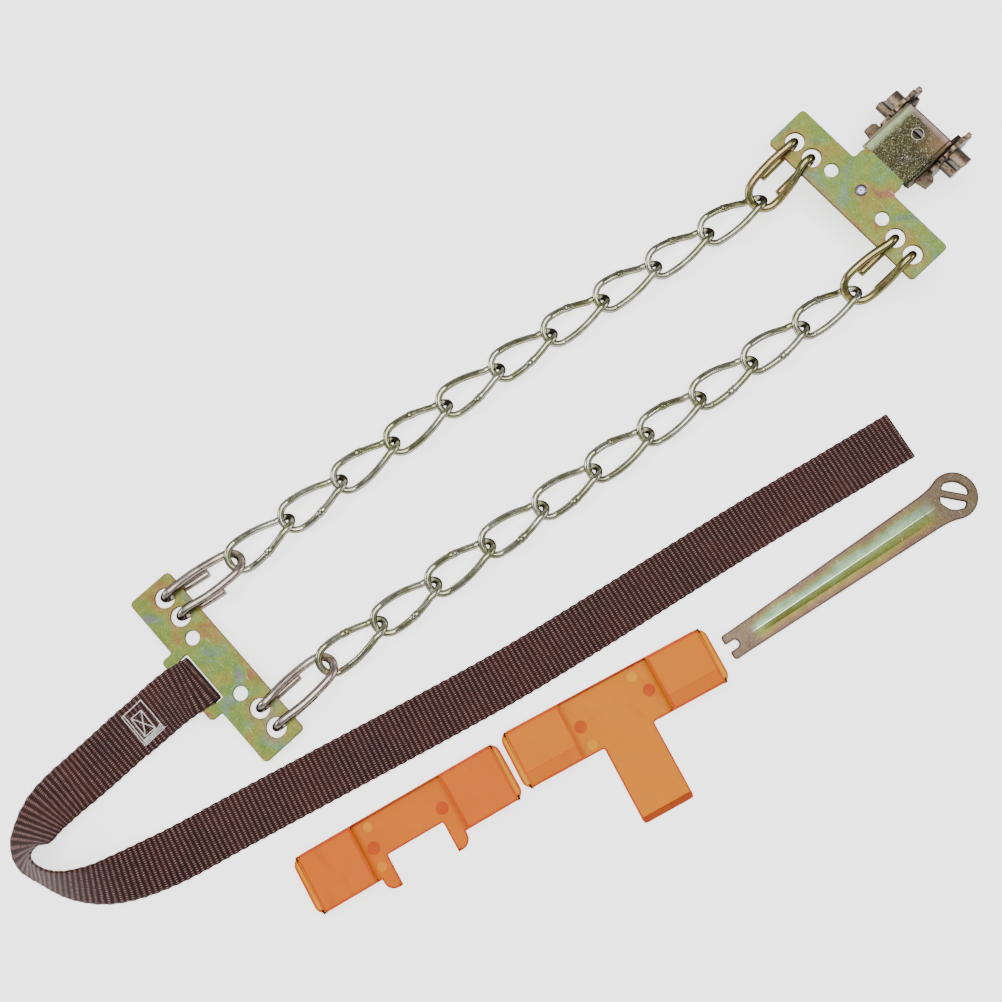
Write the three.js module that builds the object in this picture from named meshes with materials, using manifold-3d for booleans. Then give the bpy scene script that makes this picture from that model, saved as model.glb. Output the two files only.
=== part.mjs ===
// Emergency tyre chain kit laid out flat: a strap plate and a ratchet plate joined by two twisted-link
// chains, a webbing strap with its sewn loop, two moulded plate covers and a flat key.
// Millimetres, +Z up. +X runs from the strap plate to the ratchet plate and +Y along both plates.
// The kit lies on Z = 0 with its origin under the middle of everything but the loose strap.

import * as THREE from 'three';
import { mergeVertices } from 'three/addons/utils/BufferGeometryUtils.js';
import Module from 'manifold-3d';

const wasm = await Module();
wasm.setup();

// ---- driving dimensions -------------------------------------------------------------------------
const DEG = Math.PI / 180;
const GAP = 0.35;                 // clearance kept between neighbouring pieces
const CURVE_STEPS = 8;            // steps on each rounded corner of an outline

const LINKS = 10;                 // links in each chain
const LINK_WIRE = 1.7;            // radius of the link wire
const LINK_BOW = 7.0;             // centreline radius of a link's end bow
const LINK_ROLL_NEAR = 20 * DEG;  // roll of the bow nearer the strap plate
const LINK_ROLL_FAR = -50 * DEG;  // roll of the bow nearer the ratchet plate
const LINK_STEPS = 22;
const LINK_SIDES = 6;
const CHAIN_START = -152;         // X where the first link hangs in its hook
const CHAIN_STEP = 30.8;          // X from one link joint to the next
const CHAIN_Z = 6.9;              // height of the joints that lie on the ground
const CHAIN_END_LIFT = 2.4;       // how far the raised ratchet plate lifts the last joint
const CHAIN_LIFTED_JOINTS = 3;
const CHAIN_SLOPE = -0.123;       // the chains run this much across for each mm along
const CHAIN_A = { middle: 36.8, bow: 4.8 };
const CHAIN_B = { middle: -31.0, bow: 1.9 };
const CHAIN_BOW_SPAN = 154;

const HOOK_WIRE = 2;              // radius of the hook wire
const HOOK_BEND = 5;              // radius of the bend through the plate
const HOOK_BOW = 8.0;             // radius of the bow that carries the first link
const HOOK_TAIL = 22;             // hole to the cut end of a tail
const BENT_TAIL_ASIDE = -3;       // how far the tails of the first hook are bent to the side
const HOOK_ROLL_NEAR = -33 * DEG; // roll of the bow of the hooks in the strap plate
const HOOK_ROLL_FAR = 24 * DEG;   // roll of the bow of the hooks in the ratchet plate
const HOOK_SLACK = 1.2;           // joint to the inside of the bow that hangs in it
const HOOK_STEPS = 40;
const HOOK_SIDES = 6;

const PLATE_LENGTH = 98;
const PLATE_NEAR = 9.1;           // hole line to the plate edge on the chain side
const PLATE_FAR = 14;             // hole line to the opposite edge
const PLATE_THICK = 2;
const PLATE_CORNER = 2.5;
const HOOK_HOLE = 4.65;           // radius
const HOOK_HOLES_AT = [40, 28.45];
const SPARE_HOLE = 3.4;           // radius
const SPARE_HOLE_AT = 17.2;
const SPARE_HOLE_OUT = 2.3;       // from the hole line, away from the chain

const STRAP_PLATE = new THREE.Vector3(-186.9, 19.35, 7);    // middle of the hole line
const TAB_WIDTH = 36.4;
const TAB_OUT = 20.2;             // hole line to the outer edge of the tab
const SLOT_WIDTH = 26.4;
const SLOT_FROM = 9.1;
const SLOT_TO = 13.6;

const RATCHET_PLATE = new THREE.Vector3(186.2, -19.35, 19);  // middle of the hole line
const RATCHET_TILT = 12 * DEG;    // the tongue end stands on its wheels
const NECK_WIDTH = 26.6;
const TONGUE_WIDTH = 29.8;
const TONGUE_ASIDE = 0.8;         // the tongue stands this far off the middle of the bar
const TONGUE_FLARE = 21;          // hole line to where the tongue is at full width
const TONGUE_END = 50.6;
const FLANGE_THICK = 2;
const RIVET_AT = 5;
const TONGUE_HOLE_AT = 42.6;
const TONGUE_HOLE = 2.8;
const SPINDLE_X = 50.6;           // in the ratchet plate's own frame
const SPINDLE_Z = -15;
const SPINDLE_R = 6.5;
const SPINDLE_SLOT = 3;
const SPINDLE_PINS = { front: [-25.8, 24.6], rear: [-25, 26.4] };  // Y of the ends of each half
const SPINDLE_TURN = 35 * DEG;    // direction of the slot's normal above the tongue
const WHEEL_R = 14.8;
const WHEEL_ROOT = 12.3;
const WHEEL_TEETH = 12;
const WHEEL_THICK = 2.3;
const PAWL_TIP = 13.6;            // spindle centre to the engaged edge of the pawl
const PAWL_LENGTH = 8;
const PAWL_THICK = 2;
const PAWL_EARS = 21.2;           // half the width over the ears
const PAWL_TRAVEL = 2.1;

const STRAP_WIDTH = 25;
const STRAP_THICK = 1.5;

const COVER_WALL = 1.3;
const COVER_HEIGHT = 6.9;
const COVER_HALF_WIDTH = 14;
const POCKET_FROM = 23;           // cover middle to the mouth of each pocket
const POCKET_END_WALL = 3;

const KEY_THICK = 2.4;
const KEY_HEAD_AT = 132.6;        // fork end to the centre of the round head
const KEY_HEAD_R = 11.5;
const KEY_FORK_WIDTH = 12.8;
const KEY_HEEL_WIDTH = 17.8;

// ---- finishes -----------------------------------------------------------------------------------
const finish = (color, roughness, metalness) =>
  new THREE.MeshStandardMaterial({ color, roughness, metalness });
const ZINC = finish(0xa9a56a, 0.38, 0.9);
const RATCHET_STEEL = finish(0x9a8f6e, 0.42, 0.9);
const LINK_ZINC = finish(0xb9b9a6, 0.25, 1);
const HOOK_ZINC = finish(0xb0a090, 0.3, 1);
const SPRING_STEEL = finish(0x77757a, 0.35, 1);
const WEBBING = finish(0x3a2320, 0.9, 0);
const COVER_PLASTIC = finish(0xff8a12, 0.3, 0);
const STRAP_COVER_PLASTIC = finish(0xff7a1e, 0.32, 0);
const KEY_STEEL = finish(0x9a8d7c, 0.4, 0.9);

// ---- shape helpers ------------------------------------------------------------------------------
// An outline through corners [x, y, radius], each rounded where it has a radius.
function outline(corners) {
  const shape = new THREE.Shape();
  const count = corners.length;
  corners.forEach(([x, y, radius = 0], i) => {
    const here = new THREE.Vector2(x, y);
    const before = new THREE.Vector2(...corners[(i + count - 1) % count].slice(0, 2));
    const after = new THREE.Vector2(...corners[(i + 1) % count].slice(0, 2));
    const from = here.clone().add(before.sub(here).setLength(radius));
    const to = here.clone().add(after.sub(here).setLength(radius));
    if (i === 0) shape.moveTo(from.x, from.y);
    else shape.lineTo(from.x, from.y);
    if (radius > 0) shape.quadraticCurveTo(x, y, to.x, to.y);
  });
  shape.closePath();
  return shape;
}

function roundHole(x, y, radius) {
  const hole = new THREE.Path();
  hole.absarc(x, y, radius, 0, 2 * Math.PI, true);
  return hole;
}

function extrude(shape, depth, from = 0) {
  const options = { depth, bevelEnabled: false, curveSegments: CURVE_STEPS };
  return new THREE.ExtrudeGeometry(shape, options).translate(0, 0, from);
}

// An outline drawn in X and Z, extruded across from one Y to another.
function extrudeAcross(shape, fromY, toY) {
  return extrude(shape, toY - fromY).rotateX(Math.PI / 2).translate(0, toY, 0);
}

function solid(geometry) {
  const bare = geometry.clone();
  bare.deleteAttribute('normal');
  bare.deleteAttribute('uv');
  const merged = mergeVertices(bare, 1e-5);
  const vertProperties = new Float32Array(merged.attributes.position.array);
  const triVerts = new Uint32Array(merged.index.array);
  return new wasm.Manifold(new wasm.Mesh({ numProp: 3, vertProperties, triVerts }));
}

function geometryOf(manifold) {
  const mesh = manifold.getMesh();
  const geometry = new THREE.BufferGeometry();
  geometry.setAttribute('position', new THREE.BufferAttribute(mesh.vertProperties, 3));
  geometry.setIndex(new THREE.BufferAttribute(mesh.triVerts, 1));
  geometry.computeVertexNormals();
  return geometry;
}

function box(x0, x1, y0, y1, z0, z1) {
  const made = new THREE.BoxGeometry(x1 - x0, y1 - y0, z1 - z0);
  return made.translate((x0 + x1) / 2, (y0 + y1) / 2, (z0 + z1) / 2);
}

const meshes = [];
function piece(name, geometry, material, parent) {
  const mesh = new THREE.Mesh(geometry, material);
  mesh.name = name;
  parent.add(mesh);
  meshes.push(mesh);
  return mesh;
}

const kit = new THREE.Group();
const laid = new THREE.Group();
kit.add(laid);

// ---- chain ladder -------------------------------------------------------------------------------
// Joint number k of a chain, 0 where the first link hangs in its hook.
function chainJoint(chain, k) {
  const x = CHAIN_START + CHAIN_STEP * k;
  const lifted = Math.max(0, k - (LINKS - CHAIN_LIFTED_JOINTS)) / CHAIN_LIFTED_JOINTS;
  const y = chain.middle + CHAIN_SLOPE * x - chain.bow * (x / CHAIN_BOW_SPAN) ** 2;
  return new THREE.Vector3(x, y, CHAIN_Z + CHAIN_END_LIFT * lifted ** 2);
}

// The closed centreline of a link whose two end bows are rolled against each other.
class LinkCurve extends THREE.Curve {
  constructor(length) {
    super();
    this.centre = length / 2 - LINK_BOW;
  }

  getPoint(t, target = new THREE.Vector3()) {
    const side = 2 * this.centre;
    const bow = Math.PI * LINK_BOW;
    let s = t * 2 * (side + bow);
    let x;
    let across;
    const half = s < side + bow ? 1 : -1;
    if (half < 0) s -= side + bow;
    if (s < side) {
      x = this.centre - s;
      across = LINK_BOW;
    } else {
      const turn = (s - side) / LINK_BOW;
      x = -this.centre - LINK_BOW * Math.sin(turn);
      across = LINK_BOW * Math.cos(turn);
    }
    x *= half;
    across *= half;
    const along = THREE.MathUtils.clamp((x + this.centre) / side, 0, 1);
    const roll = THREE.MathUtils.lerp(LINK_ROLL_NEAR, LINK_ROLL_FAR, along);
    return target.set(x, across * Math.cos(roll), across * Math.sin(roll));
  }
}

const WIRE_REACH = LINK_WIRE + 0.6;  // joint to the centreline of a bow that hangs in it

function linkMesh(name, from, to) {
  const along = to.clone().sub(from);
  const curve = new LinkCurve(along.length() + 2 * WIRE_REACH);
  const tube = new THREE.TubeGeometry(curve, LINK_STEPS, LINK_WIRE, LINK_SIDES, true);
  const mesh = piece(name, tube, LINK_ZINC, laid);
  const x = along.normalize();
  const z = new THREE.Vector3(0, 0, 1).addScaledVector(x, -x.z).normalize();
  const y = new THREE.Vector3().crossVectors(z, x);
  mesh.quaternion.setFromRotationMatrix(new THREE.Matrix4().makeBasis(x, y, z));
  mesh.position.copy(from).add(to).multiplyScalar(0.5);
}

for (const [letter, chain] of [['a', CHAIN_A], ['b', CHAIN_B]]) {
  for (let k = 0; k < LINKS; k += 1) {
    linkMesh(`link_${letter}${k + 1}`, chainJoint(chain, k), chainJoint(chain, k + 1));
  }
}

// ---- hooks --------------------------------------------------------------------------------------
// A wire hook: two tails under the plate, two bends up through its holes, two legs and a rolled bow.
// holes is the middle of its two holes, joint the place where the first link hangs, and toward is
// +1 when the chain lies at greater X. pitch is how far the plate end leans down to the chain, and
// aside how far the tails are bent across it.
function hookPath(holes, joint, toward, pitch, aside) {
  const out = new THREE.Vector3(toward * Math.cos(pitch), 0, -Math.sin(pitch));
  const up = new THREE.Vector3(toward * Math.sin(pitch), 0, Math.cos(pitch));
  const across = new THREE.Vector3(0, 1, 0);
  const half = (HOOK_HOLES_AT[0] - HOOK_HOLES_AT[1]) / 2;
  const at = (u, v, w) =>
    holes.clone().addScaledVector(out, u).addScaledVector(across, v).addScaledVector(up, w);
  const legRoot = at(HOOK_BEND, 0, HOOK_BEND);
  const reach = HOOK_WIRE + HOOK_SLACK;
  const bowEnd = joint.clone().add(new THREE.Vector3(toward * reach, 0, 0));
  const along = bowEnd.clone().sub(legRoot).normalize();
  const side = across.clone().addScaledVector(along, -along.y).normalize();
  const lift = new THREE.Vector3().crossVectors(along, side).multiplyScalar(toward);
  const roll = toward > 0 ? HOOK_ROLL_NEAR : HOOK_ROLL_FAR;
  const rolled = side.multiplyScalar(Math.cos(roll)).addScaledVector(lift, Math.sin(roll));
  const bowCentre = bowEnd.clone().addScaledVector(along, -HOOK_BOW);
  const BENDS = 5;
  const BOWS = 6;
  const halfPath = (sign) => {
    const points = [
      at(HOOK_TAIL, sign * half + aside, -HOOK_BEND),
      at(HOOK_TAIL / 2, sign * half + aside * 0.4, -HOOK_BEND),
    ];
    for (let i = 0; i <= BENDS; i += 1) {
      const turn = (Math.PI * i) / BENDS;
      const u = HOOK_BEND * (1 - Math.sin(turn));
      points.push(at(u, sign * half, -HOOK_BEND * Math.cos(turn)));
    }
    const root = at(HOOK_BEND, sign * half, HOOK_BEND);
    const bowStart = bowCentre.clone().addScaledVector(rolled, sign * HOOK_BOW);
    points.push(root.clone().lerp(bowStart, 0.45).addScaledVector(across, sign * 0.8));
    return { points, bowStart };
  };
  const first = halfPath(1);
  const second = halfPath(-1);
  const bow = [];
  for (let i = 0; i <= BOWS; i += 1) {
    const turn = (Math.PI * i) / BOWS;
    const edge = rolled.clone().multiplyScalar(HOOK_BOW * Math.cos(turn));
    bow.push(bowCentre.clone().add(edge).addScaledVector(along, HOOK_BOW * Math.sin(turn)));
  }
  return [...first.points, ...bow, ...second.points.reverse()];
}

function hookMesh(name, path) {
  const circle = new THREE.Shape();
  for (let i = 0; i < HOOK_SIDES; i += 1) {
    const turn = (2 * Math.PI * (i + 0.5)) / HOOK_SIDES;
    const corner = [HOOK_WIRE * Math.cos(turn), HOOK_WIRE * Math.sin(turn)];
    if (i === 0) circle.moveTo(...corner);
    else circle.lineTo(...corner);
  }
  circle.closePath();
  const extrudePath = new THREE.CatmullRomCurve3(path, false, 'centripetal');
  const geometry = new THREE.ExtrudeGeometry(circle, { steps: HOOK_STEPS, extrudePath });
  piece(name, geometry, HOOK_ZINC, laid);
}

const HOOK_PAIR = (HOOK_HOLES_AT[0] + HOOK_HOLES_AT[1]) / 2;
const RATCHET_HOOK_PITCH = 18 * DEG;
for (const [letter, chain, sign] of [['a', CHAIN_A, 1], ['b', CHAIN_B, -1]]) {
  const nearHoles = STRAP_PLATE.clone().add(new THREE.Vector3(0, sign * HOOK_PAIR, 0));
  const farHoles = RATCHET_PLATE.clone().add(new THREE.Vector3(0, sign * HOOK_PAIR, 0));
  const aside = sign > 0 ? BENT_TAIL_ASIDE : 0;
  hookMesh(`strap_hook_${letter}`, hookPath(nearHoles, chainJoint(chain, 0), 1, 0, aside));
  const last = chainJoint(chain, LINKS);
  hookMesh(`ratchet_hook_${letter}`, hookPath(farHoles, last, -1, RATCHET_HOOK_PITCH, 0));
}

// ---- strap plate --------------------------------------------------------------------------------
function addBarHoles(shape, toward) {
  for (const sign of [-1, 1]) {
    for (const y of HOOK_HOLES_AT) shape.holes.push(roundHole(0, sign * y, HOOK_HOLE));
    shape.holes.push(roundHole(-toward * SPARE_HOLE_OUT, sign * SPARE_HOLE_AT, SPARE_HOLE));
  }
}

const strapPlateShape = outline([
  [PLATE_NEAR, -PLATE_LENGTH / 2, PLATE_CORNER],
  [PLATE_NEAR, PLATE_LENGTH / 2, PLATE_CORNER],
  [-PLATE_FAR, PLATE_LENGTH / 2, PLATE_CORNER],
  [-PLATE_FAR, TAB_WIDTH / 2],
  [-TAB_OUT, TAB_WIDTH / 2, PLATE_CORNER],
  [-TAB_OUT, -TAB_WIDTH / 2, PLATE_CORNER],
  [-PLATE_FAR, -TAB_WIDTH / 2],
  [-PLATE_FAR, -PLATE_LENGTH / 2, PLATE_CORNER],
]);
addBarHoles(strapPlateShape, 1);
strapPlateShape.holes.push(outline([
  [-SLOT_FROM, -SLOT_WIDTH / 2, 1],
  [-SLOT_FROM, SLOT_WIDTH / 2, 1],
  [-SLOT_TO, SLOT_WIDTH / 2, 1],
  [-SLOT_TO, -SLOT_WIDTH / 2, 1],
]));
const strapPlateMesh = extrude(strapPlateShape, PLATE_THICK, -PLATE_THICK / 2);
piece('strap_plate', strapPlateMesh, ZINC, laid).position.copy(STRAP_PLATE);

// ---- strap --------------------------------------------------------------------------------------
// Stations of the strap's centreline: X, Y, Z and how far its inner edge is tipped up, in degrees.
const STRAP_ROUTE = [
  [-197.5, 19.3, 6.8, 0], [-197.6, 19.3, 7.6, 0], [-198.4, 19.3, 8.8, 0], [-200.6, 19.3, 9.4, 0],
  [-204.4, 19.8, 9.5, 0], [-210.0, 21.1, 8.9, 0], [-217.0, 22.0, 6.5, 0], [-224.5, 22.4, 4.4, 0],
  [-231.5, 22.6, 3.1, 0], [-238.5, 22.8, 2.8, 0], [-246.5, 22.9, 1.8, 0], [-256.0, 22.9, 1.3, 1],
  [-268.0, 22.8, 2.0, 4], [-279.0, 22.8, 2.7, 8], [-288.5, 21.6, 4.0, 14], [-297.0, 18.1, 6.4, 25],
  [-303.4, 14.0, 9.4, 42], [-306.1, 8.2, 11.4, 55], [-305.0, 1.0, 12.0, 61],
  [-299.9, -9.2, 11.2, 55], [-290.2, -18.6, 9.2, 41], [-279.4, -24.6, 6.9, 27],
  [-261.1, -31.3, 2.9, 9], [-246.0, -35.4, 1.2, 2], [-233.7, -38.4, 0.8, 0],
  [-211.2, -44.2, 0.8, 0], [-176.0, -53.4, 0.8, 0], [-134.0, -64.4, 0.8, 0],
  [-91.0, -75.0, 0.8, 0], [-42.0, -84.9, 0.8, 0], [8.4, -94.4, 0.8, 0],
  [46.0, -101.7, 0.8, 0], [86.5, -110.4, 0.8, 0], [124.8, -118.4, 0.8, 0],
];
// The short end that is folded back round the tab and sewn under the strap.
const LOOP_ROUTE = [
  [-197.5, 19.3, 6.0, 0], [-197.7, 19.3, 5.2, 0], [-199.0, 19.3, 4.5, 0], [-201.4, 19.4, 4.3, 0],
  [-207.4, 20.7, 4.1, 0], [-214.0, 21.7, 3.2, 0], [-220.0, 22.2, 2.1, 0], [-226.0, 22.4, 1.2, 0],
  [-232.0, 22.6, 0.85, 0], [-239.5, 22.8, 0.8, 0],
];

// A flat band of the strap's section along a route, with its width level except where it is tipped.
function bandGeometry(route, steps) {
  const line = new THREE.CatmullRomCurve3(route.map(([x, y, z]) => new THREE.Vector3(x, y, z)));
  const tips = new THREE.CatmullRomCurve3(route.map((row) => new THREE.Vector3(row[3], 0, 0)));
  const positions = [];
  const index = [];
  for (let i = 0; i <= steps; i += 1) {
    const t = i / steps;
    const centre = line.getPoint(t);
    const tangent = line.getTangent(t);
    const left = new THREE.Vector3(-tangent.y, tangent.x, 0);
    if (left.length() < 0.3) left.set(0, -1, 0);
    left.normalize();
    const tip = tips.getPoint(t).x * DEG;
    const across = left.multiplyScalar(Math.cos(tip)).add(new THREE.Vector3(0, 0, Math.sin(tip)));
    across.addScaledVector(tangent, -across.dot(tangent)).normalize();
    const normal = new THREE.Vector3().crossVectors(tangent, across).normalize();
    for (const [u, v] of [[1, 1], [-1, 1], [-1, -1], [1, -1]]) {
      const corner = centre.clone().addScaledVector(across, (u * STRAP_WIDTH) / 2);
      positions.push(...corner.addScaledVector(normal, (v * STRAP_THICK) / 2));
    }
    if (i === 0) continue;
    for (let side = 0; side < 4; side += 1) {
      const a = 4 * (i - 1) + side;
      const b = 4 * (i - 1) + ((side + 1) % 4);
      index.push(a, b, b + 4, a, b + 4, a + 4);
    }
  }
  const end = 4 * steps;
  index.push(0, 2, 1, 0, 3, 2, end, end + 1, end + 2, end, end + 2, end + 3);
  const geometry = new THREE.BufferGeometry();
  geometry.setAttribute('position', new THREE.Float32BufferAttribute(positions, 3));
  geometry.setIndex(index);
  geometry.computeVertexNormals();
  return geometry;
}
piece('strap', bandGeometry(STRAP_ROUTE, 78), WEBBING, laid);
piece('strap_loop', bandGeometry(LOOP_ROUTE, 16), WEBBING, laid);

// ---- ratchet plate ------------------------------------------------------------------------------
const ratchet = new THREE.Group();
ratchet.position.copy(RATCHET_PLATE);
ratchet.rotation.y = -RATCHET_TILT;
laid.add(ratchet);
const tongue = new THREE.Group();
tongue.position.y = TONGUE_ASIDE;
ratchet.add(tongue);

const ratchetPlateShape = outline([
  [-PLATE_NEAR, -PLATE_LENGTH / 2, PLATE_CORNER],
  [PLATE_FAR, -PLATE_LENGTH / 2, PLATE_CORNER],
  [PLATE_FAR, TONGUE_ASIDE - NECK_WIDTH / 2, 1],
  [TONGUE_FLARE - 2, TONGUE_ASIDE - NECK_WIDTH / 2, 1],
  [TONGUE_FLARE, TONGUE_ASIDE - TONGUE_WIDTH / 2, 1],
  [TONGUE_END, TONGUE_ASIDE - TONGUE_WIDTH / 2],
  [TONGUE_END, TONGUE_ASIDE + TONGUE_WIDTH / 2],
  [TONGUE_FLARE, TONGUE_ASIDE + TONGUE_WIDTH / 2, 1],
  [TONGUE_FLARE - 2, TONGUE_ASIDE + NECK_WIDTH / 2, 1],
  [PLATE_FAR, TONGUE_ASIDE + NECK_WIDTH / 2, 1],
  [PLATE_FAR, PLATE_LENGTH / 2, PLATE_CORNER],
  [-PLATE_NEAR, PLATE_LENGTH / 2, PLATE_CORNER],
]);
addBarHoles(ratchetPlateShape, -1);
const RIVET_SHANK = 2;
ratchetPlateShape.holes.push(roundHole(RIVET_AT, 0, RIVET_SHANK + GAP));
ratchetPlateShape.holes.push(roundHole(TONGUE_HOLE_AT, TONGUE_ASIDE, TONGUE_HOLE));

// The pawl lies on a line that points at the spindle, level when the plate is tilted.
const PAWL_LEAN = -RATCHET_TILT;
const pawlDirection = new THREE.Vector3(Math.cos(PAWL_LEAN), 0, Math.sin(PAWL_LEAN));
const spindleCentre = new THREE.Vector3(SPINDLE_X, 0, SPINDLE_Z);
const pawlTip = spindleCentre.clone().addScaledVector(pawlDirection, -PAWL_TIP);

// A rectangle in X and Z laid along the pawl's line, measured back from its engaged edge.
function alongPawl(front, back, halfHeight) {
  const normal = new THREE.Vector3(-pawlDirection.z, 0, pawlDirection.x);
  const corner = (u, w) => {
    const point = pawlTip.clone().addScaledVector(pawlDirection, u).addScaledVector(normal, w);
    return [point.x, point.z];
  };
  return [
    corner(front, -halfHeight), corner(front, halfHeight),
    corner(-back, halfHeight), corner(-back, -halfHeight),
  ];
}

function flange(fromY, toY) {
  const EAR_R = 9.5;
  const shape = outline([
    [TONGUE_FLARE + 1.5, 0],
    [TONGUE_FLARE + 4, -12, 3],
    [34, -20, 4],
    [SPINDLE_X - EAR_R, SPINDLE_Z - EAR_R, 3],
    [SPINDLE_X + EAR_R, SPINDLE_Z - EAR_R, 8],
    [SPINDLE_X + EAR_R, SPINDLE_Z + EAR_R, 8],
    [TONGUE_END, -3, 2],
    [TONGUE_END, 0],
  ]);
  shape.holes.push(roundHole(SPINDLE_X, SPINDLE_Z, SPINDLE_R + GAP));
  const clear = GAP + 0.05;
  const slot = alongPawl(clear, PAWL_LENGTH + PAWL_TRAVEL + clear, PAWL_THICK / 2 + clear);
  shape.holes.push(outline(slot));
  return solid(extrudeAcross(shape, fromY, toY));
}

const ratchetPlateSolid = solid(extrude(ratchetPlateShape, PLATE_THICK, -PLATE_THICK / 2))
  .add(flange(TONGUE_ASIDE + TONGUE_WIDTH / 2 - FLANGE_THICK, TONGUE_ASIDE + TONGUE_WIDTH / 2))
  .add(flange(TONGUE_ASIDE - TONGUE_WIDTH / 2, TONGUE_ASIDE - TONGUE_WIDTH / 2 + FLANGE_THICK));
piece('ratchet_plate', geometryOf(ratchetPlateSolid), ZINC, ratchet);

// Rivet through the bar, clamping the root of the leaf spring that drives the pawl forward.
const SPRING_THICK = 0.6;
const SPRING_WIDTH = 9;
const springTop = -PLATE_THICK / 2 - GAP;
const springBottom = springTop - SPRING_THICK;
const RIVET_HEAD = 2.9;
const rivetProfile = [
  [0, springBottom - GAP - 1], [RIVET_HEAD * 0.8, springBottom - GAP - 1],
  [RIVET_HEAD, springBottom - GAP - 0.5], [RIVET_HEAD, springBottom - GAP],
  [RIVET_SHANK, springBottom - GAP], [RIVET_SHANK, PLATE_THICK / 2 + 0.1],
  [RIVET_HEAD, PLATE_THICK / 2 + 0.1], [RIVET_HEAD * 0.8, PLATE_THICK / 2 + 0.7],
  [0, PLATE_THICK / 2 + 0.9],
].map(([r, z]) => new THREE.Vector2(r, z));
const rivet = new THREE.LatheGeometry(rivetProfile, 16).rotateX(Math.PI / 2);
piece('plate_rivet', rivet.translate(RIVET_AT, 0, 0), SPRING_STEEL, ratchet);

const pawlBack = pawlTip.clone().addScaledVector(pawlDirection, -(PAWL_LENGTH + 0.6));
const bladeEnd = pawlBack.z - 1.5;
const springShape = outline([
  [1, springTop], [19, springTop, 2],
  [pawlBack.x, pawlBack.z + 1], [pawlBack.x, bladeEnd],
  [pawlBack.x - SPRING_THICK, bladeEnd], [pawlBack.x - SPRING_THICK, pawlBack.z + 0.8],
  [18.6, springBottom, 2], [1, springBottom],
]);
const springSolid = solid(extrudeAcross(springShape, -SPRING_WIDTH / 2, SPRING_WIDTH / 2))
  .subtract(solid(extrude(outline([
    [RIVET_AT - 2.6, -2.6, 1.5], [RIVET_AT + 2.6, -2.6, 1.5],
    [RIVET_AT + 2.6, 2.6, 1.5], [RIVET_AT - 2.6, 2.6, 1.5],
  ]), 4, -4)));
piece('pawl_spring', geometryOf(springSolid), SPRING_STEEL, ratchet);

// ---- pawl, wheels and split spindle -------------------------------------------------------------
// Seen along the plate's normal: a bar between the flanges with an ear through each flange.
const pawlInner = TONGUE_WIDTH / 2 - FLANGE_THICK - GAP;
const pawlOutline = outline([
  [0, -PAWL_EARS + 1.5, 1], [0, PAWL_EARS - 1.5, 1],
  [-1.8, PAWL_EARS, 0.5], [-PAWL_LENGTH + 1.2, PAWL_EARS, 0.5],
  [-PAWL_LENGTH, pawlInner + 2.6], [-PAWL_LENGTH, pawlInner],
  [-PAWL_LENGTH, -pawlInner], [-PAWL_LENGTH, -pawlInner - 2.6],
  [-PAWL_LENGTH + 1.2, -PAWL_EARS, 0.5], [-1.8, -PAWL_EARS, 0.5],
]);
const pawlGeometry = extrude(pawlOutline, PAWL_THICK, -PAWL_THICK / 2).rotateY(-PAWL_LEAN);
piece('pawl', pawlGeometry.translate(pawlTip.x, 0, pawlTip.z), RATCHET_STEEL, tongue);

function wheelShape() {
  const shape = new THREE.Shape();
  const pitch = (2 * Math.PI) / WHEEL_TEETH;
  // The tooth gap lies on the pawl's line; the teeth lean so that they only catch one way.
  const start = Math.PI + PAWL_LEAN;
  for (let i = 0; i < WHEEL_TEETH; i += 1) {
    const at = start + i * pitch;
    const corners = [[-0.17, WHEEL_ROOT], [0.2, WHEEL_ROOT], [0.36, WHEEL_R], [0.6, WHEEL_R - 0.2]];
    corners.forEach(([turn, radius], k) => {
      const angle = at + turn * pitch;
      const point = [radius * Math.cos(angle), radius * Math.sin(angle)];
      if (i === 0 && k === 0) shape.moveTo(...point);
      else shape.lineTo(...point);
    });
  }
  shape.closePath();
  shape.holes.push(roundHole(0, 0, SPINDLE_R + GAP));
  return shape;
}
const WHEEL_INNER = TONGUE_WIDTH / 2 + 0.6;
for (const [name, from] of [['left', WHEEL_INNER], ['right', -WHEEL_INNER - WHEEL_THICK]]) {
  const wheel = extrudeAcross(wheelShape(), from, from + WHEEL_THICK);
  piece(`ratchet_wheel_${name}`, wheel.translate(SPINDLE_X, 0, SPINDLE_Z), RATCHET_STEEL, tongue);
}

// Each half of the spindle is a half-round pin; the strap is threaded through the slot between them.
function spindleHalf(turn) {
  const shape = new THREE.Shape();
  const open = Math.asin(SPINDLE_SLOT / 2 / SPINDLE_R);
  const STEPS = 10;
  for (let i = 0; i <= STEPS; i += 1) {
    const angle = turn - Math.PI / 2 + open + ((Math.PI - 2 * open) * i) / STEPS;
    const point = [SPINDLE_R * Math.cos(angle), SPINDLE_R * Math.sin(angle)];
    if (i === 0) shape.moveTo(...point);
    else shape.lineTo(...point);
  }
  shape.closePath();
  return shape;
}
for (const [name, turn] of [['front', SPINDLE_TURN], ['rear', SPINDLE_TURN + Math.PI]]) {
  const pin = extrudeAcross(spindleHalf(turn), ...SPINDLE_PINS[name]);
  piece(`spindle_pin_${name}`, pin.translate(SPINDLE_X, 0, SPINDLE_Z), RATCHET_STEEL, tongue);
}

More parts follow.
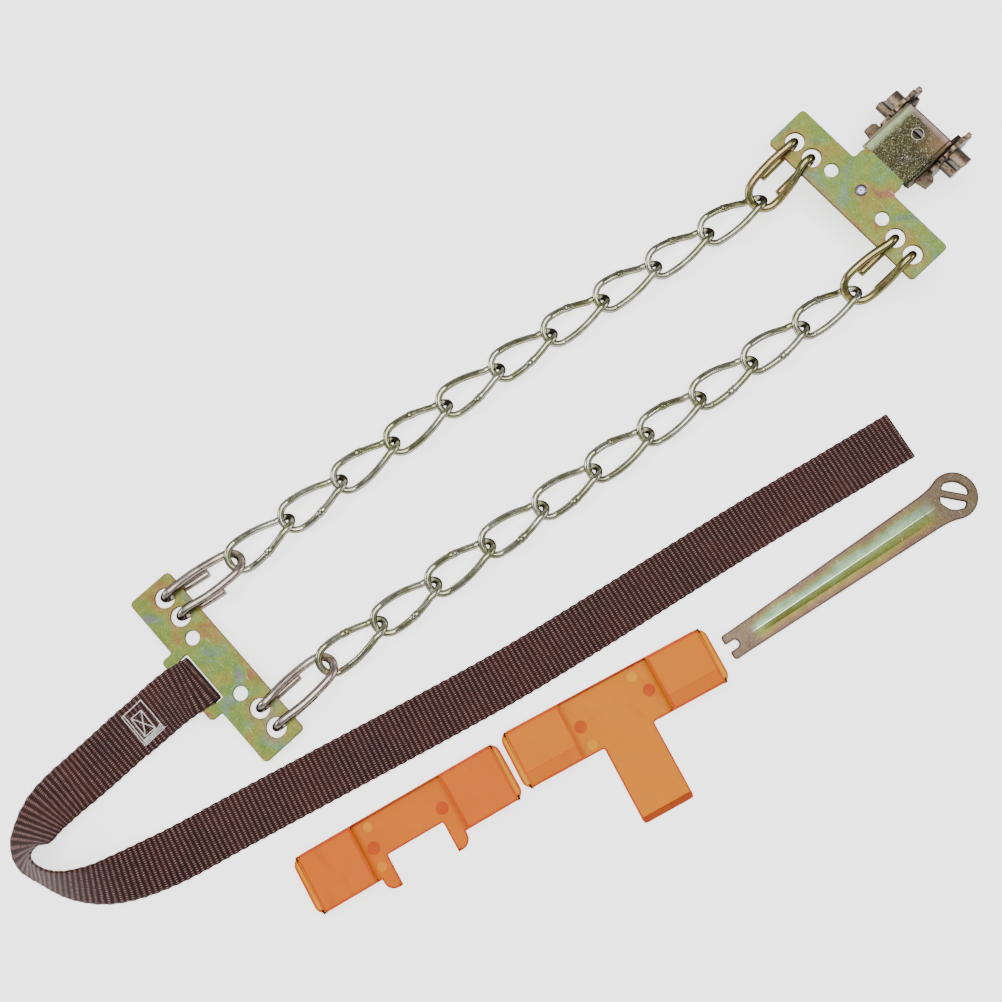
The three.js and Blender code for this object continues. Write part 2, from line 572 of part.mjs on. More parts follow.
// ---- moulded covers -----------------------------------------------------------------------------
// A flat sheet with a sleeve pocket at each end that the end of a plate slides into.
function coverSolid(sheet, halfLength) {
  let made = solid(extrude(sheet, COVER_WALL));
  for (const sign of [-1, 1]) {
    const inner = sign * POCKET_FROM;
    const outer = sign * halfLength;
    const body = outline([
      [inner, -COVER_HALF_WIDTH], [outer, -COVER_HALF_WIDTH, 4.5],
      [outer, COVER_HALF_WIDTH, 4.5], [inner, COVER_HALF_WIDTH],
    ]);
    const wall = COVER_HALF_WIDTH - COVER_WALL;
    const mouth = sign * (POCKET_FROM - 1);
    const end = sign * (halfLength - POCKET_END_WALL);
    const hollow = box(Math.min(mouth, end), Math.max(mouth, end), -wall, wall,
      COVER_WALL, COVER_HEIGHT - COVER_WALL);
    made = made.add(solid(extrude(body, COVER_HEIGHT)).subtract(solid(hollow)));
  }
  return geometryOf(made);
}

function placeFlat(mesh, x, y, degrees) {
  mesh.position.set(x, y, 0);
  mesh.rotation.z = degrees * DEG;
}

const STEM_HALF = 13;
const STEM_END = 52;
const RATCHET_COVER_HALF = 53.5;
const ratchetCoverSheet = outline([
  [-RATCHET_COVER_HALF, -COVER_HALF_WIDTH, 4.5], [-STEM_HALF, -COVER_HALF_WIDTH, 1],
  [-STEM_HALF, -STEM_END, 2], [STEM_HALF, -STEM_END, 2],
  [STEM_HALF, -COVER_HALF_WIDTH, 1], [RATCHET_COVER_HALF, -COVER_HALF_WIDTH, 4.5],
  [RATCHET_COVER_HALF, COVER_HALF_WIDTH, 4.5], [-RATCHET_COVER_HALF, COVER_HALF_WIDTH, 4.5],
]);
const ratchetCover = coverSolid(ratchetCoverSheet, RATCHET_COVER_HALF);
placeFlat(piece('ratchet_cover', ratchetCover, COVER_PLASTIC, laid), -66.9, -118.8, -14.7);

const NOTCH_HALF = 14.3;
const NOTCH_TOP = -5.6;
const LEG_END = -20.5;
const LEG_OUT = 21.5;
const STRAP_COVER_HALF = 52.5;
const strapCoverSheet = outline([
  [-STRAP_COVER_HALF, -COVER_HALF_WIDTH, 4.5], [-LEG_OUT, -COVER_HALF_WIDTH],
  [-LEG_OUT, LEG_END, 5.5], [-NOTCH_HALF, LEG_END], [-NOTCH_HALF, NOTCH_TOP],
  [NOTCH_HALF, NOTCH_TOP], [NOTCH_HALF, LEG_END], [LEG_OUT, LEG_END, 5.5],
  [LEG_OUT, -COVER_HALF_WIDTH], [STRAP_COVER_HALF, -COVER_HALF_WIDTH, 4.5],
  [STRAP_COVER_HALF, COVER_HALF_WIDTH, 4.5], [-STRAP_COVER_HALF, COVER_HALF_WIDTH, 4.5],
]);
const strapCover = coverSolid(strapCoverSheet, STRAP_COVER_HALF);
placeFlat(piece('strap_cover', strapCover, STRAP_COVER_PLASTIC, laid), -172.3, -94.5, -12.9);

// ---- key ----------------------------------------------------------------------------------------
const FORK_SLOT = 4;
const FORK_DEPTH = 6;
const HEEL_AT = KEY_HEAD_AT - 12.5;
const NECK = [[KEY_HEAD_AT - 8.4, 9.5], [KEY_HEAD_AT - 4.4, 10.5]];  // where it flares to the head
const keyShape = outline([
  [0, -KEY_FORK_WIDTH / 2, 1.6], [8, -KEY_FORK_WIDTH / 2], [HEEL_AT, -KEY_HEEL_WIDTH / 2],
  ...NECK.map(([x, y]) => [x, -y]), ...NECK.slice().reverse(),
  [HEEL_AT, KEY_HEEL_WIDTH / 2], [8, KEY_FORK_WIDTH / 2], [0, KEY_FORK_WIDTH / 2, 1.6],
  [0, FORK_SLOT / 2, 0.8], [FORK_DEPTH, FORK_SLOT / 2, 1.9], [FORK_DEPTH, -FORK_SLOT / 2, 1.9],
  [0, -FORK_SLOT / 2, 0.8],
]);

// An opening on one side of a crossbar, to pass over one half of the split spindle.
const EYE_TURN = -44 * DEG;
const EYE = [[-6.7, 1.75, 1.1], [6.7, 1.75, 1.1], [5.8, 5.3, 2.2], [0, 7.9, 4], [-5.8, 5.3, 2.2]];
function keyEye(turn) {
  const geometry = extrude(outline(EYE), KEY_THICK + 2, -1).rotateZ(turn);
  return solid(geometry.translate(KEY_HEAD_AT, 0, 0));
}
const headShape = new THREE.Shape();
headShape.absarc(KEY_HEAD_AT, 0, KEY_HEAD_R, 0, 2 * Math.PI);
const RIB_FROM = 16;
const RIB_TO = 115.5;
const RIB_HALF = 1.7;
const RIB_RISE = 0.9;
const ribShape = outline([
  [RIB_FROM, -RIB_HALF, 1.6], [RIB_TO, -RIB_HALF, 1.6],
  [RIB_TO, RIB_HALF, 1.6], [RIB_FROM, RIB_HALF, 1.6],
]);
const keySolid = solid(extrude(keyShape, KEY_THICK))
  .add(solid(extrude(headShape, KEY_THICK)))
  .add(solid(extrude(ribShape, KEY_THICK - 0.5 + RIB_RISE, 0.5)))
  .subtract(keyEye(EYE_TURN))
  .subtract(keyEye(EYE_TURN + Math.PI));
placeFlat(piece('key', geometryOf(keySolid), KEY_STEEL, laid), -9.1, -135.0, -9.26);

// ---- origin -------------------------------------------------------------------------------------
kit.updateMatrixWorld(true);
const footprint = new THREE.Box3();
for (const mesh of meshes) {
  if (mesh.material !== WEBBING) footprint.union(new THREE.Box3().setFromObject(mesh, true));
}
const middle = footprint.getCenter(new THREE.Vector3());
laid.position.set(-middle.x, -middle.y, 0);

// Pivots of the ladder, in the kit's frame, for whoever animates it.
kit.updateMatrixWorld(true);
const inKit = (point) => point.clone().add(laid.position).toArray();
kit.userData.pivots = {
  strap_plate_holes: inKit(STRAP_PLATE),
  chain_a: Array.from({ length: LINKS + 1 }, (_, k) => inKit(chainJoint(CHAIN_A, k))),
  chain_b: Array.from({ length: LINKS + 1 }, (_, k) => inKit(chainJoint(CHAIN_B, k))),
  ratchet_plate_holes: inKit(RATCHET_PLATE),
  spindle: tongue.localToWorld(spindleCentre.clone()).toArray(),
  pawl_axis: pawlDirection.clone().transformDirection(ratchet.matrixWorld).toArray(),
};

export default kit;
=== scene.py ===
"""Looks of the tyre chain kit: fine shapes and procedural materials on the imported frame.
"""

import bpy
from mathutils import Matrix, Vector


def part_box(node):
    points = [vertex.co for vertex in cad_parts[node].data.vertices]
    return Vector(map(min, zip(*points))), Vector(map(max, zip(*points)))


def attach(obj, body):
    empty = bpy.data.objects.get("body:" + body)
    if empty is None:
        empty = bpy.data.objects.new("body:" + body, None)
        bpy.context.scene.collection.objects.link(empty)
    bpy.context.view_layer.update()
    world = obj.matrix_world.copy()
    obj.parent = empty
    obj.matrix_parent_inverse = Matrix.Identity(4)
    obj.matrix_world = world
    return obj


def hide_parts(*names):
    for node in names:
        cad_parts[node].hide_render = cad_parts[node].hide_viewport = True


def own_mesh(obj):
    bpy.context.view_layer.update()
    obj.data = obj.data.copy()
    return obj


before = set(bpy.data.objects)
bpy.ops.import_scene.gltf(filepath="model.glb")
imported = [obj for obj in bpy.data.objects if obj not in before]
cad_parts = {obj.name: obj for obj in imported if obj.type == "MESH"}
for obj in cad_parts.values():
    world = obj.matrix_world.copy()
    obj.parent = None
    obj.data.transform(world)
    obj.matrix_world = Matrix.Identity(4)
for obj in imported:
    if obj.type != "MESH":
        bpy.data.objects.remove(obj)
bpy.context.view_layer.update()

import random
from math import asin, atan2, cos, dist, exp, pi, sin, tan
from math import radians as rad

import bpy
from mathutils import Matrix, Vector
from mathutils.geometry import tessellate_polygon

random.seed(7)

# ---- the layout, as the CAD has it ----
PLATE_NEAR, PLATE_FAR, PLATE_HALF = 9.1, 14.0, 49.0
HOOK_HOLE, HOOK_HOLES_AT = 4.65, (40.0, 28.45)
SPARE_HOLE, SPARE_HOLE_AT, SPARE_HOLE_OUT = 3.4, 17.2, 2.3
STRAP_PLATE = Vector((-186.9, 19.35, 7.0))
TAB_HALF, TAB_OUT = 18.2, 20.2
RATCHET_PLATE = Vector((186.2, -19.35, 19.0))
RATCHET_TILT = rad(12)
SPINDLE = Vector((50.6, 0.0, -15.0))
SPINDLE_R, SPINDLE_SLOT = 6.5, 3.0
PAWL_TIP, PAWL_LENGTH, PAWL_EARS = 13.6, 8.0, 21.2
TONGUE_ASIDE = 0.8
RIVET_AT, TONGUE_HOLE_AT = 5.0, 42.6

LINKS = 10
CHAIN_START, CHAIN_STEP, CHAIN_Z = -152.0, 30.8, 6.9
CHAINS = {"a": (36.8, 4.8, 1), "b": (-31.0, 1.9, -1)}

STRAP_WIDTH, STRAP_THICK = 25.0, 1.5
STRAP_ROUTE = [
    (-197.5, 19.3, 6.8, 0), (-197.6, 19.3, 7.6, 0), (-198.4, 19.3, 8.8, 0), (-200.6, 19.3, 9.4, 0),
    (-204.4, 19.8, 9.5, 0), (-210.0, 21.1, 8.9, 0), (-217.0, 22.0, 6.5, 0), (-224.5, 22.4, 4.4, 0),
    (-231.5, 22.6, 3.1, 0), (-238.5, 22.8, 2.8, 0), (-246.5, 22.9, 1.8, 0), (-256.0, 22.9, 1.3, 1),
    (-268.0, 22.8, 2.0, 4), (-279.0, 22.8, 2.7, 8), (-288.5, 21.6, 4.0, 14), (-297.0, 18.1, 6.4, 25),
    (-303.4, 14.0, 9.4, 42), (-306.1, 8.2, 11.4, 55), (-305.0, 1.0, 12.0, 61),
    (-299.9, -9.2, 11.2, 55), (-290.2, -18.6, 9.2, 41), (-279.4, -24.6, 6.9, 27),
    (-261.1, -31.3, 2.9, 9), (-246.0, -35.4, 1.2, 2), (-233.7, -38.4, 0.8, 0),
    (-211.2, -44.2, 0.8, 0), (-176.0, -53.4, 0.8, 0), (-134.0, -64.4, 0.8, 0),
    (-91.0, -75.0, 0.8, 0), (-42.0, -84.9, 0.8, 0), (8.4, -94.4, 0.8, 0),
    (46.0, -101.7, 0.8, 0), (86.5, -110.4, 0.8, 0), (124.8, -118.4, 0.8, 0),
]
LOOP_ROUTE = [
    (-197.5, 19.3, 6.0, 0), (-197.7, 19.3, 5.2, 0), (-199.0, 19.3, 4.5, 0), (-201.4, 19.4, 4.3, 0),
    (-207.4, 20.7, 4.1, 0), (-214.0, 21.7, 3.2, 0), (-220.0, 22.2, 2.1, 0), (-226.0, 22.4, 1.2, 0),
    (-232.0, 22.6, 0.85, 0), (-239.5, 22.8, 0.8, 0),
]

# The strap plate's own box says where the layout lies in the row frame.
low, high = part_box("strap_plate")
ORIGIN = Vector((low.x, (low.y + high.y) / 2, 0))
ORIGIN += Vector((TAB_OUT - STRAP_PLATE.x, -STRAP_PLATE.y, 0)) / 1000


shift = Matrix.Translation


def turn_about(axis, angle):
    return Matrix.Rotation(angle, 4, axis)


def fan(start, end, count):
    """Evenly spaced values from start to end, both included."""
    return [start + (end - start) * i / count for i in range(count + 1)]


def kit_matrix():
    return shift(ORIGIN) @ Matrix.Scale(0.001, 4)


# ---- camera ----
def put_in_scene(name, data):
    obj = bpy.data.objects.new(name, data)
    bpy.context.scene.collection.objects.link(obj)
    return obj


def add_camera():
    data = bpy.data.cameras.new("camera")
    camera = put_in_scene("camera", data)
    data.sensor_width = 36.0
    data.lens = 41.67
    data.clip_start = 0.01
    camera.location = kit_matrix() @ Vector((-111.3, -89.5, 546.0))
    level = Vector((0.6763, 0.7366, 0.0))
    ahead = level * cos(rad(79)) - Vector((0, 0, sin(rad(79))))
    camera.rotation_euler = ahead.to_track_quat("-Z", "Y").to_euler()
    bpy.context.scene.camera = camera


add_camera()


# ---- mesh helpers ----
def curve_points(points, per_span):
    """A centripetal Catmull-Rom curve through the points, given as vectors of any size."""
    pts = [list(p) for p in points]
    before = [2 * a - b for a, b in zip(pts[0], pts[1])]
    after = [2 * a - b for a, b in zip(pts[-1], pts[-2])]
    pts = [before] + pts + [after]

    def mix(a, b, ta, tb, t):
        if tb - ta < 1e-9:
            return a
        w = (t - ta) / (tb - ta)
        return [x * (1 - w) + y * w for x, y in zip(a, b)]

    made = []
    for i in range(1, len(pts) - 2):
        quad = pts[i - 1:i + 3]
        knots = [0.0]
        for a, b in zip(quad, quad[1:]):
            knots.append(knots[-1] + max(dist(a[:3], b[:3]), 1e-4) ** 0.5)
        for k in range(per_span):
            t = knots[1] + (knots[2] - knots[1]) * k / per_span
            a1 = mix(quad[0], quad[1], knots[0], knots[1], t)
            a2 = mix(quad[1], quad[2], knots[1], knots[2], t)
            a3 = mix(quad[2], quad[3], knots[2], knots[3], t)
            b1 = mix(a1, a2, knots[0], knots[2], t)
            b2 = mix(a2, a3, knots[1], knots[3], t)
            made.append(mix(b1, b2, knots[1], knots[2], t))
    made.append(pts[-2])
    return made


class Shape:
    """Vertices and faces gathered from several parts, each vertex with a tone used by the materials."""

    def __init__(self):
        self.verts, self.faces, self.flat, self.tones, self.weave = [], [], [], [], []

    def add(self, verts, faces, flat=False, tones=None, weave=None, matrix=None):
        start = len(self.verts)
        self.verts += [matrix @ Vector(v) if matrix else Vector(v) for v in verts]
        self.faces += [[start + i for i in face] for face in faces]
        self.flat += flat if isinstance(flat, list) else [flat] * len(faces)
        self.tones += tones or [0.0] * len(verts)
        self.weave += weave or [(v[0], v[1]) for v in verts]
        return self


def make_object(name, shape, material, body, nodes=(), matrix=None):
    mesh = bpy.data.meshes.new(name)
    place = kit_matrix() @ (matrix or Matrix.Identity(4))
    mesh.from_pydata([place @ v for v in shape.verts], [], shape.faces)
    mesh.polygons.foreach_set("use_smooth", [not f for f in shape.flat])
    tone = mesh.attributes.new("tone", "FLOAT", "POINT")
    tone.data.foreach_set("value", shape.tones)
    weave = mesh.attributes.new("weave", "FLOAT_VECTOR", "POINT")
    weave.data.foreach_set("vector", [c for a, b in shape.weave for c in (a, b, 0.0)])
    mesh.validate()
    mesh.materials.append(material)
    obj = put_in_scene(name, mesh)
    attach(obj, body)
    if nodes:
        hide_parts(*nodes)
    return obj


def grid_faces(rows, columns, start=0, wrap_rows=False, wrap_columns=True):
    """Four-cornered faces over a grid of vertices numbered row by row."""
    faces = []
    for i in range(rows if wrap_rows else rows - 1):
        a, b = start + i * columns, start + (i + 1) % rows * columns
        for k in range(columns if wrap_columns else columns - 1):
            m = (k + 1) % columns
            faces.append([a + k, a + m, b + m, b + k])
    return faces


def area(loop):
    return sum(a[0] * b[1] - b[0] * a[1] for a, b in zip(loop, loop[1:] + loop[:1])) / 2


def inset(loop, distance):
    """The loop moved to its left by the distance."""
    moved = []
    count = len(loop)
    for i, p in enumerate(loop):
        a, b = Vector(loop[i - 1]), Vector(loop[(i + 1) % count])
        here = Vector(p)
        d1, d2 = (here - a).normalized(), (b - here).normalized()
        n1, n2 = Vector((-d1.y, d1.x)), Vector((-d2.y, d2.x))
        n = (n1 + n2)
        n = n / max(n.length_squared / 2, 0.4)
        moved.append(tuple(here + n * distance))
    return moved


def mirrored(points, x_way=1, y_way=-1):
    """These corners and then their mirror images, across y = 0 unless the ways say otherwise."""
    return points + [(x * x_way, y * y_way, *radius) for x, y, *radius in reversed(points)]


def box(x0, y0, x1, y1):
    return [(x0, y0), (x1, y0), (x1, y1), (x0, y1)]


BEVEL_STEPS = 3


def slab(outer, holes, z0, z1, bevel, soft=0.0):
    """A flat piece with rounded edges. soft widens the band beside an edge that carries its tone."""
    loops = []
    for i, loop in enumerate([outer] + list(holes)):
        loops.append(loop if (area(loop) > 0) == (i == 0) else loop[::-1])
    turns = fan(0, pi / 2, BEVEL_STEPS)
    bottom = [(bevel * (1 - sin(turn)), z0 + bevel * (1 - cos(turn)), 1.0) for turn in turns]
    profile = bottom + [(distance, z0 + z1 - z, tone) for distance, z, tone in reversed(bottom)]
    if soft > 0:
        profile = [(bevel + soft, z0, 0.0)] + profile + [(bevel + soft, z1, 0.0)]
    verts, faces, tones, firsts = [], [], [], []
    for loop in loops:
        count = len(loop)
        base = len(verts)
        firsts.append(base)
        for distance, z, tone in profile:
            verts += [(x, y, z) for x, y in inset(loop, distance)]
            tones += [tone] * count
        faces += grid_faces(len(profile), count, base)
    sides = len(faces)
    for ring, flip in ((0, True), (len(profile) - 1, False)):
        index, polygons = [], []
        for loop, first in zip(loops, firsts):
            ids = [first + ring * len(loop) + i for i in range(len(loop))]
            index += ids
            polygons.append([Vector(verts[i]) for i in ids])
        for tri in tessellate_polygon(polygons):
            face = [index[i] for i in tri]
            a, b, c = (Vector(verts[i]) for i in face)
            if ((b - a).cross(c - a).z < 0) != flip:
                face.reverse()
            faces.append(face)
    return verts, faces, [False] * sides + [True] * (len(faces) - sides), tones


def rounded(corners, steps=5):
    """A closed loop through corners (x, y, radius), each rounded with a true arc."""
    loop = []
    count = len(corners)
    for i, corner in enumerate(corners):
        here = Vector(corner[:2])
        radius = corner[2] if len(corner) > 2 else 0
        if radius == 0:
            loop.append(tuple(here))
            continue
        before = (Vector(corners[i - 1][:2]) - here).normalized()
        after = (Vector(corners[(i + 1) % count][:2]) - here).normalized()
        half = before.angle(after) / 2
        reach = radius / tan(half)
        centre = here + (before + after).normalized() * radius / sin(half)
        start, end = here + before * reach - centre, here + after * reach - centre
        sweep = start.angle_signed(end)
        for turn in fan(0, -sweep, steps):
            c, s = cos(turn), sin(turn)
            loop.append((centre.x + start.x * c - start.y * s, centre.y + start.x * s + start.y * c))
    return loop


def ring(x, y, radius, count=40):
    turns = [2 * pi * i / count for i in range(count)]
    return [(x + radius * cos(turn), y + radius * sin(turn)) for turn in turns]


def tube(points, radius, sides, closed=False, tones=None):
    """A round wire along points. radius may be a function of the point's number."""
    pts = [Vector(p) for p in points]
    count = len(pts)
    size = radius if callable(radius) else (lambda i: radius)
    tangents = []
    for i in range(count):
        if closed:
            t = pts[(i + 1) % count] - pts[i - 1]
        else:
            t = pts[min(i + 1, count - 1)] - pts[max(i - 1, 0)]
        tangents.append(t.normalized())
    normal = tangents[0].orthogonal().normalized()
    normals = []
    for t in tangents:
        normal = (normal - t * normal.dot(t)).normalized()
        normals.append(normal.copy())
    slip = 0.0
    if closed:
        last = (normals[-1] - tangents[0] * normals[-1].dot(tangents[0])).normalized()
        slip = atan2(tangents[0].dot(last.cross(normals[0])), last.dot(normals[0]))
    verts, made_tones = [], []
    for i, (p, t, n) in enumerate(zip(pts, tangents, normals)):
        side = t.cross(n)
        turn = slip * i / count
        for k in range(sides):
            angle = 2 * pi * k / sides + turn
            verts.append(p + (n * cos(angle) + side * sin(angle)) * size(i))
            made_tones.append(tones(i) if tones else 0.0)
    faces = grid_faces(count, sides, wrap_rows=closed)
    flat = [False] * len(faces)
    if not closed:
        for i, way in ((0, -1), (count - 1, 1)):
            first = i * sides
            rim = len(verts)
            r = size(i)
            chamfer = 0.16 * r
            for k in range(sides):
                spoke = (verts[first + k] - pts[i]).normalized()
                verts.append(pts[i] + spoke * (r - chamfer) + tangents[i] * way * chamfer)
                made_tones.append(1.0)
            steps = [(k, (k + 1) % sides) for k in range(sides)]
            made = [[first + k, first + m, rim + m, rim + k] for k, m in steps]
            made.append([rim + k for k in range(sides)])
            faces += [face[::way] for face in made]
            flat += [False] * sides + [True]
    return verts, faces, flat, made_tones


# ---- material helpers ----
def srgb(r, g, b):
    return tuple(c / 12.92 if c <= 0.04045 else ((c + 0.055) / 1.055) ** 2.4 for c in (r, g, b))


def set_stops(ramp, stops):
    """Set a colour ramp's stops, each a position and a linear colour."""
    while len(ramp.elements) < len(stops):
        ramp.elements.new(0.5)
    for element, (position, colour) in zip(ramp.elements, stops):
        element.position = position
        element.color = (*colour, 1)


class Nodes:
    """Short ways to build one material's node tree. Colours are given in sRGB."""

    def __init__(self, name):
        self.material = bpy.data.materials.new(name)
        self.material.use_nodes = True
        self.tree = self.material.node_tree
        self.shader = self.tree.nodes["Principled BSDF"]
        self.place = self.new("TexCoord").outputs["Object"]

    def new(self, kind, **settings):
        node = self.tree.nodes.new("ShaderNode" + kind)
        for key, value in settings.items():
            if hasattr(node, key):
                setattr(node, key, value)
            else:
                node.inputs[key.replace("_", " ")].default_value = value
        return node

    def link(self, a, b):
        self.tree.links.new(a, b)
        return b

    def feed(self, socket, value):
        if isinstance(value, bpy.types.NodeSocket):
            self.link(value, socket)
        else:
            socket.default_value = value

    def noise(self, scale, detail, roughness, distortion=0.0, vector=None):
        node = self.new("TexNoise", Scale=scale, Detail=detail, Roughness=roughness, Distortion=distortion)
        self.link(vector or self.place, node.inputs["Vector"])
        return node.outputs["Fac"]

    def stretch(self, y, turn):
        node = self.new("Mapping", Scale=(1, y, 1), Rotation=(0, 0, turn))
        self.link(self.place, node.inputs["Vector"])
        return node.outputs["Vector"]

    def drift(self, scale, detail, roughness, low, high):
        """Slow noise between two values."""
        return self.spread(self.noise(scale, detail, roughness), 0.3, 0.7, low, high)

    def ramp(self, value, stops):
        node = self.new("ValToRGB")
        set_stops(node.color_ramp, [(position, srgb(*colour)) for position, colour in stops])
        self.link(value, node.inputs["Fac"])
        return node.outputs["Color"]

    def spread(self, value, low, high, out_low=0.0, out_high=1.0):
        node = self.new("MapRange")
        for i, number in enumerate((low, high, out_low, out_high), 1):
            node.inputs[i].default_value = number
        self.link(value, node.inputs["Value"])
        return node.outputs["Result"]

    def math(self, operation, a, b=0.0):
        node = self.new("Math", operation=operation)
        self.feed(node.inputs[0], a)
        self.feed(node.inputs[1], b)
        return node.outputs[0]

    def mix(self, amount, a, b):
        node = self.new("Mix", data_type="RGBA")
        self.feed(node.inputs["Factor"], amount)
        for socket, value in ((node.inputs[6], a), (node.inputs[7], b)):
            self.feed(socket, (*srgb(*value), 1) if isinstance(value, tuple) else value)
        return node.outputs[2]

    def attribute(self, name):
        return self.new("Attribute", attribute_name=name)

    def times(self, a, b):
        return self.math("MULTIPLY", a, b)

    def weave(self):
        """Where a point lies across and along its own piece, in millimetres."""
        split = self.new("SeparateXYZ")
        self.link(self.attribute("weave").outputs["Vector"], split.inputs[0])
        return split.outputs[0], split.outputs[1]

    def edge_shade_and_welds(self, colour, amount, tint):
        """The colour moved towards a tint where the shape's tone is high: painted shade along bevelled
        edges and wire ends, and a darker weld collar on the links.
        """
        tone = self.attribute("tone").outputs["Fac"]
        return self.mix(self.times(tone, amount), colour, tint)

    def bump(self, height, strength, distance, under=None):
        node = self.new("Bump", Strength=strength, Distance=distance)
        self.link(height, node.inputs["Height"])
        if under:
            self.link(under, node.inputs["Normal"])
        return node.outputs["Normal"]

    def finish(self, colour, rough, normal=None, **shader):
        for key, value in {"Base_Color": colour, "Roughness": rough, **shader}.items():
            self.feed(self.shader.inputs[key.replace("_", " ")], value)
        if normal:
            self.link(normal, self.shader.inputs["Normal"])
        return self.material


# ---- materials ----
# Dark tint for painted shade along zinc edges.
ZINC_EDGE_SHADE = (0.16, 0.12, 0.07)


def metal_surface(n, colour, rough, grazing_shade, metallic=0.8, edge=ZINC_EDGE_SHADE):
    """Rubbed, finely crystalline metal, with painted shade where it turns away from view and along its
    edges.
    """
    # Painted shade: the colour runs to the dark edge tint at grazing angles, standing in for dark
    # reflections at the edges.
    curve = n.new("LayerWeight", Blend=0.35).outputs["Facing"]
    colour = n.mix(n.spread(curve, 0.15, 0.40, 0.0, grazing_shade), colour, edge)
    wear = n.noise(240, 4, 0.6)
    roughness = n.spread(wear, 0.3, 0.7, rough - 0.07, rough + 0.10)
    low = n.bump(n.noise(70, 2, 0.5), 0.22, 0.0005)
    fine = n.noise(2600, 4, 0.7)
    return n.finish(colour, roughness, n.bump(fine, 0.12, 0.0001, low), Metallic=metallic,
                    Specular_Tint=(0.32, 0.30, 0.24, 1.0))


def scratched(n, colour, amount, tint=(0.90, 0.89, 0.80)):
    """Fine pale scratches in two directions."""
    for turn, cut in ((0.5, 0.68), (-0.9, 0.70)):
        lines = n.noise(1500, 2, 0.5, vector=n.stretch(0.11, turn))
        marks = n.spread(lines, cut, cut + 0.07, 0.0, amount)
        colour = n.mix(marks, colour, tint)
    return colour


def flecked(n, colour, amount, dark=(0.10, 0.10, 0.06), pale=(0.92, 0.93, 0.82)):
    """Fine dark pits and pale crystals."""
    pits = n.noise(1500, 5, 0.75)
    colour = n.mix(n.spread(pits, 0.40, 0.54, amount, 0.0), colour, dark)
    crystals = n.noise(2100, 3, 0.65, 0.4)
    return n.mix(n.spread(crystals, 0.58, 0.68, 0.0, amount), colour, pale)


def zinc_material(name, tints, scale, rough, fleck=0.25, scratch=0.3, grazing_shade=0.55, edge=ZINC_EDGE_SHADE,
                  metallic=0.94):
    """Passivated zinc in slow patches of interference colour."""
    n = Nodes(name)
    colour = n.ramp(n.noise(scale, 2.5, 0.55, 0.6), tints)
    colour = scratched(n, flecked(n, colour, fleck), scratch)
    return metal_surface(n, n.edge_shade_and_welds(colour, 0.45, edge), rough, grazing_shade, metallic, edge)


PLATE_TINTS = [
    (0.26, (0.58, 0.37, 0.29)), (0.36, (0.56, 0.51, 0.24)), (0.46, (0.49, 0.56, 0.24)),
    (0.57, (0.43, 0.56, 0.28)), (0.67, (0.41, 0.55, 0.43)), (0.77, (0.50, 0.48, 0.48)),
]
ORANGE_TINTS = [(0.3, (0.62, 0.38, 0.27)), (0.7, (0.62, 0.55, 0.27))]
TONGUE_TINTS = [
    (0.25, (0.11, 0.11, 0.06)), (0.42, (0.24, 0.25, 0.13)), (0.55, (0.19, 0.17, 0.11)),
    (0.68, (0.28, 0.31, 0.28)), (0.80, (0.26, 0.18, 0.12)),
]
RATCHET_TINTS = [
    (0.25, (0.34, 0.21, 0.14)), (0.40, (0.60, 0.49, 0.41)), (0.50, (0.76, 0.65, 0.59)),
    (0.60, (0.60, 0.57, 0.36)), (0.72, (0.80, 0.68, 0.67)), (0.85, (0.46, 0.27, 0.17)),
]
# Pale tints for the raised rim round the tongue hole: a painted highlight on the rim.
LIP_HIGHLIGHT_TINTS = [(0.3, (0.62, 0.60, 0.50)), (0.7, (0.88, 0.86, 0.80))]
RIVET_TINTS = [(0.3, (0.55, 0.54, 0.64)), (0.7, (0.74, 0.72, 0.82))]
FLANGE_TINTS = [(0.3, (0.36, 0.25, 0.18)), (0.5, (0.54, 0.43, 0.36)), (0.7, (0.62, 0.53, 0.50))]
LINK_TINTS = [
    (0.25, (0.56, 0.56, 0.46)), (0.42, (0.80, 0.80, 0.72)), (0.55, (0.64, 0.65, 0.48)),
    (0.68, (0.84, 0.85, 0.80)), (0.82, (0.60, 0.57, 0.52)),
]
GOLD_HOOK_TINTS = [
    (0.25, (0.66, 0.50, 0.40)), (0.42, (0.72, 0.63, 0.44)), (0.56, (0.62, 0.62, 0.40)),
    (0.72, (0.68, 0.56, 0.50)),
]
SILVER_HOOK_TINTS = [
    (0.25, (0.60, 0.55, 0.51)), (0.42, (0.78, 0.75, 0.69)), (0.58, (0.72, 0.63, 0.61)),
    (0.74, (0.82, 0.74, 0.72)),
]


def plate_material(name, toward):
    """Green-gold zinc that runs to orange round the hook holes and along the chain side."""
    n = Nodes(name)
    x, y = n.weave()
    colour = n.ramp(n.spread(n.noise(62, 3, 0.55, 0.9), 0.28, 0.72, 0.2, 0.8), PLATE_TINTS)
    side = n.math("ABSOLUTE", y)
    nearest = None
    for at in HOOK_HOLES_AT:
        dy = n.math("SUBTRACT", side, at)
        gap = n.math("SQRT", n.math("ADD", n.times(x, x), n.times(dy, dy)))
        nearest = n.math("MINIMUM", nearest, gap) if nearest else gap
    wander = n.drift(190, 3, 0.55, -1.6, 1.6)
    round_holes = n.spread(n.math("ADD", nearest, wander), 4.6, 8.8, 1.0, 0.0)
    chain_edge = n.spread(n.math("ADD", n.times(x, toward), wander), 5.4, 9.4)
    orange = n.ramp(n.noise(160, 3, 0.5), ORANGE_TINTS)
    colour = n.mix(n.times(n.math("MAXIMUM", round_holes, chain_edge), 0.6), colour, orange)
    colour = scratched(n, flecked(n, colour, 0.34), 0.4)
    return metal_surface(n, n.edge_shade_and_welds(colour, 0.45, (0.20, 0.15, 0.08)), 0.36, 0.5)


